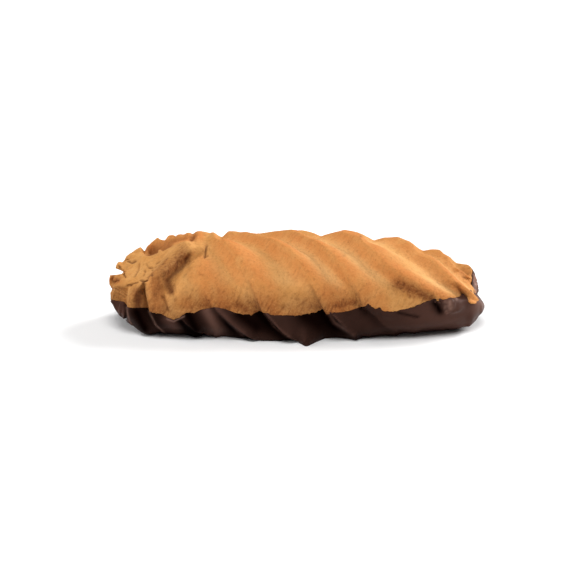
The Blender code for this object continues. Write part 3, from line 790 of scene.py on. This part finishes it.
biscuitMake = {
    "rings": 380, "segments": 244, "fine": 0.7,
    "crowding": 0.45,              # segments lie closer on the front and the crown
    "crowdingLead": 0.11,
    # under the chocolate the skin is drawn in: how far, and between which depths below the edge
    "drawnIn": 0.95, "drawnOver": (0.2, 1.5),
    "foldDrawnIn": 1.6, "foldDrawnOver": (0.3, 1.5), "foldStations": (-26.0, -22.0),
    "tipDrawnIn": 2.0, "tipLength": 3.5,
    "lobeFacing": (0.05, 0.30),
    "floor": 1.25,
    "unevenness": ((4.5, 0.10), (1.3, 0.05), (0.5, 0.022)),    # sizes and heights
    "patches": (0.45, 0.9, 3.2, 31.0),     # their mean, strength, size and seed
    "crown": ((8.0, 34.0), (90.0, 130.0)),     # degrees
    # toasted past a crest in mm and close before the next one, and painted shade before that on the crown,
    # as shares of the way
    "band": ((-0.6, 0.5), (2.8, 7.5)),
    "crestBand": (0.93, 1.0),
    "beforeCrest": ((0.6, 0.8), (0.92, 1.0)),
    "beforeShare": 0.8,
    "toastAndShadeShare": (0.25, 0.35),    # everywhere, and more on the crown
    # paler and lighter halfway between two crests, and less to the left: partly the valleys' paler dough,
    # partly a painted highlight where the flanks face the light
    "middle": (0.54, 0.23),
    "paleAndHighlightLeft": (0.2, (-8.0, 3.0)),
    "glare": (22.0, 5.0, 0.75),    # the painted highlight is less on the brightest flank: its station, width and share
    # browned and painted shade: darker low down, partly baked browning and partly painted shade on the
    # lower front, painted shade before a crest, browned in patches, and less to the right
    "brownAndShade": (0.50, 0.38, 0.30),
    "brownAndShadeHeight": 6.5,
    "shaded": ((0.45, 0.93), (0.95, 1.0)),
    "lessBrownAndShade": (0.7, (8.0, 20.0)),
    # browner and more toasted places, as the picture shows them: path, half width, how much; those in the
    # recess between the teeth, under the curl and in its groove, on the curl's front face and in a valley
    # before a crest on the right are painted shade, the rest are browning by the chocolate
    "pathMarks": (
        (((236, 305), (247, 309)), 6.5, 1.0),
        (((234, 304), (252, 306)), 7.0, 0.6),
        (((299, 306), (313, 300)), 5.6, 0.65),
        (((338, 305), (354, 302)), 7.0, 1.0),
        (((272, 306), (296, 309)), 7.0, 0.62),
        (((113, 290), (122, 294)), 5.0, 0.5),
        (((398, 284), (412, 290), (430, 298)), 6.5, 1.0),
        (((409, 294), (420, 297), (430, 299.5)), 4.0, 0.8),
        (((136, 293), (139, 306)), 6.5, 1.0),
        (((184.6, 257.4), (178, 263), (171, 270), (165, 278)), 6.0, 0.95),
        (((168, 282), (170, 290)), 4.5, 0.85),
        (((120, 299), (125, 300)), 4.0, 0.5),
        (((168, 266), (158, 280), (154, 300)), 7.0, 0.65),
    ),
    # toasted places as the picture shows them: path, half width, how much; in the pockets of the torn top
    # and of the leftmost tooth, and on the crown, this is painted shade
    "toastedAndShaded": (
        (((112, 279), (117, 280)), 4.0, 0.9),
        (((150, 248), (168, 242), (200, 235)), 6.5, 1.0),
        (((206, 285), (210, 300)), 9.0, 0.8),
        (((228, 237), (262, 242), (288, 257)), 4.5, 0.8),
        (((453, 277), (463, 286), (472, 299)), 5.0, 1.0),
        (((156, 284), (157, 306)), 8.0, 0.9),
    ),
}


def crowdedAngles(turn):
    fullTurn, lead = 2.0 * math.pi, biscuitMake["crowdingLead"]
    share = np.mod(turn + 90.0, 360.0) / 360.0
    crowded = np.sin(fullTurn * (share + lead)) - math.sin(fullTurn * lead)
    return -90.0 + 360.0 * (share + biscuitMake["crowding"] * crowded / fullTurn)


def paintDough(mesh, points, placed, x, angle, below, covered):
    make = biscuitMake
    between, gap, _ = betweenRidges(x, angle)
    past, onCrown = pastCurl(x, angle), window(angle, *make["crown"])
    mean, strength, size, seed = make["patches"]
    patches = mean + strength * roughness(points, size, seed)
    band = window(between * gap, *make["band"]) + smooth(between, *make["crestBand"])
    # painted shade: the steep side before a crest on the crown is darkened with the toasted colour
    before = make["beforeShare"] * window(between, *make["beforeCrest"]) * onCrown
    everywhere, more = make["toastAndShadeShare"]
    toastAndShade = np.maximum(band, before) * past * np.clip(patches + everywhere + more * onCrown, 0.0, 1.0)
    paint(mesh, "toastAndShade", raisedNearPaths(toastAndShade, placed, make["toastedAndShaded"]))
    least, stations = make["paleAndHighlightLeft"]
    # painted highlight: halfway between crests on the crown the dough is set paler and lighter
    paleAndHighlight = bell(between, *make["middle"]) * past * onCrown
    paleAndHighlight = paleAndHighlight * (least + (1.0 - least) * smooth(x, *stations))
    station, width, less = make["glare"]
    paint(mesh, "paleAndHighlight", paleAndHighlight * (1.0 - less * bell(x, station, width)))
    plain, inShade, patchy = make["brownAndShade"]
    shade = window(between, *make["shaded"]) * past
    # darker low down by the chocolate: partly baked browning, partly painted shade on the lower front
    brownAndShade = (plain + inShade * shade + patchy * patches) * (1.0 - smooth(-below, 0.0, make["brownAndShadeHeight"]))
    less, stations = make["lessBrownAndShade"]
    brownAndShade = np.clip(brownAndShade * (1.0 - covered) * (1.0 - less * smooth(x, *stations)), 0.0, 1.0)
    paint(mesh, "brownAndShade", raisedNearPaths(brownAndShade, placed, make["pathMarks"]))


def makeBiscuit():
    make = biscuitMake
    mesh, ring, turn = closedGrid("biscuitBody", make["segments"], make["rings"])
    x, angle = stationsAlong(make["rings"] + 1, make["fine"])[ring], crowdedAngles(turn)
    below = belowRim(x, angle)
    covered = lobeHeights(inPicture(shapeByPicture(skin(x, angle, 0.0))))[1]
    covered *= facingEye(outward(x, angle), *make["lobeFacing"])
    hidden = smooth(below, *make["drawnOver"]) * (1.0 - covered)
    inFolds = smooth(below, *make["foldDrawnOver"]) * (1.0 - smooth(x, *make["foldStations"]))
    points = skin(x, angle, -make["drawnIn"] * hidden - make["foldDrawnIn"] * inFolds, make["floor"])
    right = finger["ends"][1]
    points[:, 0] -= make["tipDrawnIn"] * smooth(x, right - make["tipLength"], right) * hidden
    points = shapeByPicture(points)
    writePoints(mesh, points)
    faceOut(mesh)
    placed = inPicture(points)
    points, dark = markSkin(points, normalsOf(mesh))
    writePoints(mesh, points)
    lift = unevenness(points, make["unevenness"]) * (1.0 - hidden)
    points = points + normalsOf(mesh) * lift[:, None]
    writePoints(mesh, points)
    paintDough(mesh, points, placed, x, angle, below, covered)
    # painted shade in cracks, creases, grooves, pockets and gaps
    paint(mesh, "crackShade", dark)
    return addPiece("biscuitBody", mesh)


# The chocolate

# two folds that the coat follows, each both a raised line and a painted highlight along its edge
toothFold = ((126.8, 308), (127.6, 314.2), (129.2, 320.3), (131.6, 324.8))
curlFold = ((148.8, 311), (151.6, 317.5), (156.1, 325.5), (164.4, 333))

coatMake = {
    "segments": 640, "rings": 112, "outerRings": 98, "crowding": 0.75,
    "samples": 3000, "fine": 1.0,
    "inside": -0.35,
    "rises": (-60.0, 75.0), "halvings": 26,
    "unevenness": ((6.0, 0.10), (1.8, 0.03)), "seedShift": 2.0,
    "flatBelow": 0.6,              # nearer to the floor the coat is even
    # bumps at the right tip, where crumbs lie under the chocolate
    "crumbly": {
        "path": ((473, 275), (477, 284), (475, 294)),
        "half": 4.5, "height": 0.7, "size": 0.8, "seed": 5.0},
    "smoothed": 0.9,               # how far the coat evens out the ridges on the right
    "smoothedFrom": (7.0, 12.0),
    "smoothedBelow": (0.3, 2.5),
    # how thin and lit it is, which sets it lighter: everywhere, painted light on the side of a ridge that
    # is lit, a painted highlight on its rim, where it is smoothed, painted light towards the right,
    # less in painted shade before a crest, and at the back
    "thinAndLit": 0.07,
    "lit": (0.36, (0.10, 0.62)),
    "rim": (0.85, 0.22),
    "thinAndLitSmoothed": 0.27,
    "thinAndLitRight": (0.40, (12.0, 30.0)),
    "shaded": (0.20, (0.55, 0.95), (15.0, 30.0)),
    "behind": (0.45, (-1.0, 5.0)),
    "facing": (0.05, 0.35),
    # painted highlights, where it is set thinner and browner, and painted shade, where it is thick and
    # dark:
    # path on the picture, half width, how thin and lit
    "patches": (
        (((118, 304), (122, 314)), 6.0, 0.80),
        (((137, 312), (144, 328)), 9.0, 0.0),
        (((156, 317), (161, 324)), 4.5, 0.08),
        (((168, 319), (173, 326), (177, 333)), 6.0, 0.70),
        (((188, 314), (196, 330)), 9.0, 0.0),
        (((207, 311), (213, 322), (219, 333)), 6.5, 1.0),
        (((218, 310), (228, 319), (243, 333)), 2.6, 0.85),
        (((240, 314), (256, 326)), 8.0, 0.02),
        (((266, 314), (275, 326), (289, 337)), 1.8, 0.80),
        (((305, 315), (318, 322)), 8.0, 0.02),
        (((328, 312), (335, 323), (354, 335)), 2.0, 0.70),
        (((435, 303), (440, 311)), 4.6, 0.0),
        (((398, 312.5), (408, 315), (418, 317)), 1.4, 0.15),
        (((478, 300), (482, 308)), 5.0, 1.0),
    ),
    # fine painted highlights along its folds, the drip and the right tip, and light where dough shows
    # through: path, half width, how much
    "edgeHighlights": (
        (toothFold, 0.9, 0.38),
        (curlFold, 0.9, 0.42),
        (((445.4, 301), (444.8, 307), (447, 313)), 1.2, 0.35),
        (((449.4, 302), (450.6, 308)), 2.8, 0.55),
        (((462, 293), (464, 294)), 1.2, 0.5),
        (((475.2, 277), (475.8, 284), (475.8, 291)), 2.2, 1.0),
        (((473, 279), (474.6, 281)), 1.2, 0.5),
        (((474.6, 286), (475.6, 289)), 1.1, 0.5),
        (((455, 297.6), (457, 299)), 1.0, 0.5),
        (((167, 319.2), (173.6, 321.6), (184, 316.4)), 0.8, 0.45),
        (((480, 297), (485, 306)), 2.6, 0.5),
        (((476, 300), (480, 310)), 6.0, 0.14),
        (((207, 311), (212, 322), (218, 332)), 3.6, 0.12),
    ),
}


def coatPlace(turn, rise):
    # station and angle of a place on the coat, seen from the middle of the finger
    turned, risen = np.radians(turn), np.radians(rise)
    toX, toY = np.cos(risen) * np.cos(turned), np.cos(risen) * np.sin(turned)
    angle = np.degrees(np.arctan2(np.sin(risen), -toY))
    angle = np.where(angle < -90.0, angle + 360.0, angle)
    share = np.degrees(np.arccos(np.clip(-toX, -1.0, 1.0))) / 180.0
    samples = coatMake["samples"]
    stations = stationsAlong(samples, coatMake["fine"])
    return np.interp(share, np.linspace(0.0, 1.0, samples), stations), angle


def raggedEdge(turns):
    edge = np.zeros(len(turns))
    for fine, seed, strength in dip["raggedness"]:
        edge += [strength * noise.noise(Vector((math.cos(t) * fine, math.sin(t) * fine, seed)))
                 for t in np.radians(turns)]
    return edge * dip["ragged"]


def rimRise(turns):
    # how high the chocolate's edge lies in each direction, found by halving
    low, high = np.full_like(turns, coatMake["rises"][0]), np.full_like(turns, coatMake["rises"][1])
    ragged = raggedEdge(turns)
    for _ in range(coatMake["halvings"]):
        middle = (low + high) / 2.0
        under = belowRim(*coatPlace(turns, middle)) > ragged
        low, high = np.where(under, middle, low), np.where(under, high, middle)
    return low


coatMarks = (
    # path, half width and how far each lifts the coat
    (toothFold, 1.4, 0.2),
    (curlFold, 1.4, 0.2),
    (((205, 314), (212, 326)), 4.0, 0.25),
    (((437, 303), (440, 312)), 3.4, -0.45),
    (((397, 313), (408, 315.6), (419, 317.4)), 1.4, -0.25),
    (((424, 308), (432, 312)), 4.5, 0.25),
)

# a small drip beside the finger of dough
drip = {
    "path": ((450.6, 304), (451, 308.4), (457, 307), (467, 305)),
    "half": 7.2, "height": 1.3,
    "fades": (0.35, 1.0),          # shares of its length
}


def markCoat(points, normals):
    picture = inPicture(points)
    away, along = nearPath(picture, drip["path"])
    near = smooth(drip["half"] - away, 0.0, drip["half"])
    lift = drip["height"] * near * (1.0 - smooth(along, *drip["fades"]))
    for path, half, height in coatMarks:
        lift += height * closeTo(picture, path, half)
    return points + normals * (lift * facingEye(normals, *marking["facing"]))[:, None]


def paintCoat(mesh, points, x, angle):
    make = coatMake
    between, gap, _ = betweenRidges(x, angle)
    evened = smooth(x, *make["smoothedFrom"])
    fromCrest = np.minimum(between, 1.0 - between) * gap
    (lit, litUntil), (rim, rimWidth) = make["lit"], make["rim"]
    # painted light and shade: lighter on a ridge's lit side, on crest rims and towards the right, darker in
    # the shade before a crest; the patches add painted highlights and painted shade
    onRidges = lit * (1.0 - smooth(between, *litUntil))
    onRidges = onRidges + rim * bell(fromCrest, 0.0, rimWidth) * pastCurl(x, angle)
    thinAndLit = make["thinAndLit"] + onRidges * (1.0 - evened) + make["thinAndLitSmoothed"] * evened
    more, stations = make["thinAndLitRight"]
    thinAndLit = thinAndLit + more * smooth(x, *stations)
    less, inShade, stations = make["shaded"]
    thinAndLit = thinAndLit - less * smooth(between, *inShade) * (1.0 - smooth(points[:, 0], *stations))
    behind, depths = make["behind"]
    thinAndLit = thinAndLit + (behind - thinAndLit) * smooth(points[:, 1], *depths)
    placed, facing = inPicture(points), facingEye(normalsOf(mesh), *make["facing"])
    for path, half, wanted in make["patches"]:
        thinAndLit = thinAndLit + (wanted - thinAndLit) * closeTo(placed, path, half) * facing
    paint(mesh, "thinAndLit", thinAndLit)
    # painted highlights along folds, the drip and the right tip, and crumbs of dough
    paint(mesh, "edge", raisedNearPaths(np.zeros(len(points)), placed, make["edgeHighlights"]) * facing)


def makeCoat():
    make = coatMake
    mesh, ring, turn = closedGrid("chocolateCoat", make["segments"], make["rings"])
    keys, where = np.unique(np.round(turn, 3), return_inverse=True)
    rim = rimRise(keys)[where]
    outer = ring <= make["outerRings"]
    innerRings = make["rings"] - make["outerRings"]
    step = np.where(outer, ring / make["outerRings"], (make["rings"] - ring) / innerRings)
    x, angle = coatPlace(turn, -90.0 + (rim + 90.0) * step ** make["crowding"])
    below = np.maximum(belowRim(x, angle), 0.0)
    lip = (dip["lip"] + dip["sunk"]) * np.sqrt(np.clip(below / dip["lipWidth"], 0.0, 1.0)) - dip["sunk"]
    offset = lip + (dip["thick"] - dip["lip"]) * smooth(below, *dip["thickens"])
    offset = np.where(outer, offset, make["inside"])
    evened = smooth(x, *make["smoothedFrom"]) * smooth(below, *make["smoothedBelow"])
    points = shapeByPicture(skin(x, angle, offset, 0.0, 1.0 - make["smoothed"] * evened))
    writePoints(mesh, points)
    faceOut(mesh)
    points = np.where(outer[:, None], markCoat(points, normalsOf(mesh)), points)
    writePoints(mesh, points)
    lift = unevenness(points, make["unevenness"], make["seedShift"])
    crumbly = make["crumbly"]
    crumbs = closeTo(inPicture(points), crumbly["path"], crumbly["half"])
    lift += crumbly["height"] * crumbs * roughness(points, crumbly["size"], crumbly["seed"])
    lift *= smooth(points[:, 2], 0.0, make["flatBelow"]) * outer
    points = points + normalsOf(mesh) * lift[:, None]
    writePoints(mesh, points)
    paintCoat(mesh, points, x, angle)
    return addPiece("chocolateCoat", mesh)


# Materials

def newMaterial(name):
    material = bpy.data.materials.new(name)
    material.use_nodes = True
    return material, material.node_tree, material.node_tree.nodes["Principled BSDF"]


def addNode(tree, kind, settings=(), inputs=()):
    node = tree.nodes.new(kind)
    for key, value in dict(settings).items():
        setattr(node, key, value)
    for key, value in dict(inputs).items():
        if isinstance(value, bpy.types.NodeSocket):
            tree.links.new(value, node.inputs[key])
        else:
            node.inputs[key].default_value = value
    return node


def mixColour(tree, share, first, second, blend="MIX"):
    node = addNode(tree, "ShaderNodeMix", {"data_type": "RGBA", "blend_type": blend})
    for socket, value in ((node.inputs[0], share), (node.inputs[6], first), (node.inputs[7], second)):
        if isinstance(value, bpy.types.NodeSocket):
            tree.links.new(value, socket)
        else:
            socket.default_value = value
    return node.outputs[2]


def calculate(tree, operation, first, second):
    return addNode(tree, "ShaderNodeMath", {"operation": operation}, {0: first, 1: second}).outputs[0]


def painted(tree, name):
    return addNode(tree, "ShaderNodeAttribute", {"attribute_name": name}).outputs["Fac"]


def ramp(tree, value, low, high, toLow, toHigh):
    return addNode(tree, "ShaderNodeMapRange", {"clamp": True}, {
        "Value": value, "From Min": low, "From Max": high, "To Min": toLow, "To Max": toHigh}).outputs[0]


def bumpFrom(tree, height, strength, distance):
    inputs = {"Height": height, "Strength": strength, "Distance": distance}
    return addNode(tree, "ShaderNodeBump", {}, inputs).outputs[0]


def objectPlace(tree, stretch=(1, 1, 1), turn=(0, 0, 0)):
    place = addNode(tree, "ShaderNodeTexCoord").outputs["Object"]
    return addNode(tree, "ShaderNodeMapping", {"vector_type": "TEXTURE"}, {
        "Vector": place, "Scale": stretch, "Rotation": turn}).outputs[0]


def noiseAt(tree, place, scale, detail, rough):
    return addNode(tree, "ShaderNodeTexNoise", {}, {
        "Vector": place, "Scale": scale, "Detail": detail, "Roughness": rough}).outputs["Fac"]


dough = {
    "pale": (0.610, 0.300, 0.094, 1.0),
    "golden": (0.560, 0.254, 0.069, 1.0),
    # paler dough, also the colour of the painted highlight between crests on the crown
    "paleAndHighlight": (0.755, 0.420, 0.160, 1.0),
    # toasted colour, also used for painted shade before crests on the crown
    "toastedAndShaded": (0.560, 0.200, 0.050, 1.0),
    # browned colour: baked browning, pores and specks, and painted shade low down, before crests and in
    # recesses
    "brownedAndShaded": (0.172, 0.045, 0.009, 1.0),
    # colour of the painted shade in cracks, creases, grooves and pockets
    "crackShade": (0.080, 0.022, 0.006, 1.0),
    "strokeColour": (0.110, 0.026, 0.005, 1.0),
    # scale, detail and roughness of each noise
    "mottle": (330.0, 3.0, 0.6), "grain": (2100.0, 3.0, 0.6),
    "streak": (1700.0, 2.0, 0.5), "specks": (3000.0, 2.0, 0.7),
    "streakStretch": (1.0, 1.0, 4.0), "streakLean": (0.0, 32.0, 0.0),
    "pores": 950.0,
    # where a noise starts and ends to count, and what it gives at each
    "goldenBy": (0.35, 0.65, 0.0, 1.0),
    "toastedAndShadedBy": (0.2, 0.6, 0.6, 0.95),
    "brownedAndShadedBy": (0.3, 0.7, 0.6, 1.0),
    "strokedBy": (0.48, 0.70, 0.0, 1.0),
    "strokes": (0.0, 1.0, 0.16, 0.75),     # by the brown value, which holds browning and painted shade
    "poreMask": (0.10, 0.22, 1.0, 0.0),
    "porousBy": (0.5, 0.7, 0.0, 0.5),
    "darkSpecks": (0.56, 0.72, 0.0, 0.30),
    "paleSpecks": (0.44, 0.30, 0.0, 0.30),
    "rough": 0.82, "specular": 0.15,
    "relief": (0.6, 0.5, 0.25),    # of grain, streaks and pores
    "bump": (0.8, 0.0003),
}


def doughMaterial():
    material, tree, shader = newMaterial("bakedDough")
    place = objectPlace(tree)
    lean = [math.radians(turn) for turn in dough["streakLean"]]
    streaked = objectPlace(tree, dough["streakStretch"], lean)
    mottle, grain, specks = [noiseAt(tree, place, *dough[name]) for name in ("mottle", "grain", "specks")]
    streak = noiseAt(tree, streaked, *dough["streak"])
    cells = addNode(tree, "ShaderNodeTexVoronoi", {}, {"Vector": place, "Scale": dough["pores"]})
    poreMask = ramp(tree, cells.outputs["Distance"], *dough["poreMask"])
    toastedAndShaded = calculate(tree, "MULTIPLY", painted(tree, "toastAndShade"), ramp(tree, mottle, *dough["toastedAndShadedBy"]))
    brownAndShade = painted(tree, "brownAndShade")
    # browned layer: browning with painted shade low down, before crests and in recesses
    brownedAndShaded = calculate(tree, "MULTIPLY", brownAndShade, ramp(tree, grain, *dough["brownedAndShadedBy"]))
    strokes = calculate(tree, "MULTIPLY", ramp(tree, streak, *dough["strokedBy"]),
                        ramp(tree, brownAndShade, *dough["strokes"]))
    porous = calculate(tree, "MULTIPLY", poreMask, ramp(tree, grain, *dough["porousBy"]))
    colour = mixColour(tree, ramp(tree, mottle, *dough["goldenBy"]), dough["pale"], dough["golden"])
    layers = (
        (toastedAndShaded, "toastedAndShaded"), (painted(tree, "paleAndHighlight"), "paleAndHighlight"), (brownedAndShaded, "brownedAndShaded"),
        (strokes, "strokeColour"), (porous, "brownedAndShaded"),
        (ramp(tree, specks, *dough["darkSpecks"]), "brownedAndShaded"),
        (ramp(tree, specks, *dough["paleSpecks"]), "pale"), (painted(tree, "crackShade"), "crackShade"))
    for share, over in layers:
        colour = mixColour(tree, share, colour, dough[over])
    tree.links.new(colour, shader.inputs["Base Color"])
    shader.inputs["Roughness"].default_value = dough["rough"]
    shader.inputs["Specular IOR Level"].default_value = dough["specular"]
    ofGrain, ofStreaks, ofPores = dough["relief"]
    height = calculate(tree, "ADD", calculate(tree, "MULTIPLY", grain, ofGrain),
                       calculate(tree, "MULTIPLY", streak, ofStreaks))
    height = calculate(tree, "SUBTRACT", height, calculate(tree, "MULTIPLY", poreMask, ofPores))
    tree.links.new(bumpFrom(tree, height, *dough["bump"]), shader.inputs["Normal"])
    return material


chocolate = {
    "thick": (0.0020, 0.0004, 0.0003, 1.0),
    # colour where painted light sets the coat lighter; thick is its dark colour under painted shade
    "thinAndLit": (0.098, 0.046, 0.034, 1.0),
    # painted highlight colour for edges, folds and the right tip
    "edge": (0.300, 0.170, 0.130, 1.0),
    "sheen": (1.0, 0.45, 0.36, 1.0),
    "cloud": (160.0, 3.0, 0.55), "fine": (900.0, 2.0, 0.5),
    # from where to where, and what it gives at each
    "cloudedBy": (0.3, 0.7, 0.75, 1.0),
    "rough": (0.3, 0.7, 0.36, 0.50),
    "specular": (0.0, 0.8, 0.004, 0.06),   # by the painted thin-and-lit value, so painted shade also loses its gloss
    "fineRelief": 0.15,
    "bump": (0.25, 0.0004),
}


def chocolateMaterial():
    material, tree, shader = newMaterial("darkChocolate")
    place = objectPlace(tree)
    cloud, fine = noiseAt(tree, place, *chocolate["cloud"]), noiseAt(tree, place, *chocolate["fine"])
    # painted light and shade on the coat: mixes from dark to lighter brown
    thinAndLit = painted(tree, "thinAndLit")
    share = calculate(tree, "MULTIPLY", thinAndLit, ramp(tree, cloud, *chocolate["cloudedBy"]))
    colour = mixColour(tree, share, chocolate["thick"], chocolate["thinAndLit"])
    # painted highlights along folds, the drip and the right tip
    colour = mixColour(tree, painted(tree, "edge"), colour, chocolate["edge"])
    tree.links.new(colour, shader.inputs["Base Color"])
    tree.links.new(ramp(tree, cloud, *chocolate["rough"]), shader.inputs["Roughness"])
    tree.links.new(ramp(tree, thinAndLit, *chocolate["specular"]), shader.inputs["Specular IOR Level"])
    shader.inputs["Specular Tint"].default_value = chocolate["sheen"]
    height = calculate(tree, "ADD", cloud, calculate(tree, "MULTIPLY", fine, chocolate["fineRelief"]))
    tree.links.new(bumpFrom(tree, height, *chocolate["bump"]), shader.inputs["Normal"])
    return material


# The studio

studio = {
    "floor": {
        "colour": (0.93, 0.93, 0.93, 1.0), "rough": 0.9, "specular": 0.1,
        "size": 6.0, "place": (0.0, 1.0, 0.0)},
    "sky": 0.15, "skyColour": (1.0, 1.0, 1.0, 1.0),
    "aim": (0.0, 0.0, 0.009),
    # where each lamp stands, how strong it is and how wide, in degrees
    "lamps": (
        {"name": "keyLight", "turn": 120.0, "rise": 30.0, "strength": 3.66, "size": 35.0},
        {"name": "topLight", "turn": 0.0, "rise": 60.0, "strength": 2.08, "size": 35.0},
        {"name": "sideLight", "turn": -90.0, "rise": 30.0, "strength": 1.46, "size": 35.0},
    ),
}


def makeFloor():
    made = studio["floor"]
    bpy.ops.mesh.primitive_plane_add(size=made["size"], location=made["place"])
    floor = bpy.context.object
    floor.name = "studioFloor"
    material, tree, shader = newMaterial("paleFloor")
    shader.inputs["Base Color"].default_value = made["colour"]
    shader.inputs["Roughness"].default_value = made["rough"]
    shader.inputs["Specular IOR Level"].default_value = made["specular"]
    floor.data.materials.append(material)


def makeLights():
    world = bpy.data.worlds.new("studioLight")
    bpy.context.scene.world = world
    world.use_nodes = True
    sky = world.node_tree.nodes["Background"]
    sky.inputs["Color"].default_value = studio["skyColour"]
    sky.inputs["Strength"].default_value = studio["sky"]
    for each in studio["lamps"]:
        turn, rise = math.radians(each["turn"]), math.radians(each["rise"])
        source = Vector((math.sin(turn) * math.cos(rise), -math.cos(turn) * math.cos(rise), math.sin(rise)))
        lamp = bpy.data.lights.new(each["name"], "SUN")
        lamp.energy = each["strength"]
        lamp.angle = math.radians(each["size"])
        placed = addPiece(each["name"], lamp)
        placed.location = Vector(studio["aim"]) + source
        placed.rotation_euler = (-source).to_track_quat("-Z", "Y").to_euler()
    bpy.context.scene.view_settings.view_transform = "Standard"


def makeCamera():
    lens = bpy.data.cameras.new("studioCamera")
    lens.sensor_width = camera["sensor"]
    lens.lens = camera["sensor"] * camera["distance"] / (camera["side"] * camera["pixel"])
    lens.clip_start = camera["nearest"] * mm
    body = addPiece("studioCamera", lens)
    body.location = Vector(eye) * mm
    body.rotation_euler = (math.pi / 2 - tilt, 0.0, 0.0)
    bpy.context.scene.camera = body


makeCamera()
makeFloor()
makeLights()
print("camera and studio ready")

biscuitPiece = makeBiscuit()
biscuitPiece.data.materials.append(doughMaterial())
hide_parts("biscuit")
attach(biscuitPiece, "root")
print("biscuit made:", len(biscuitPiece.data.polygons), "faces")

coatPiece = makeCoat()
coatPiece.data.materials.append(chocolateMaterial())
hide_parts("chocolate_coat")
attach(coatPiece, "root")
print("chocolate made:", len(coatPiece.data.polygons), "faces")
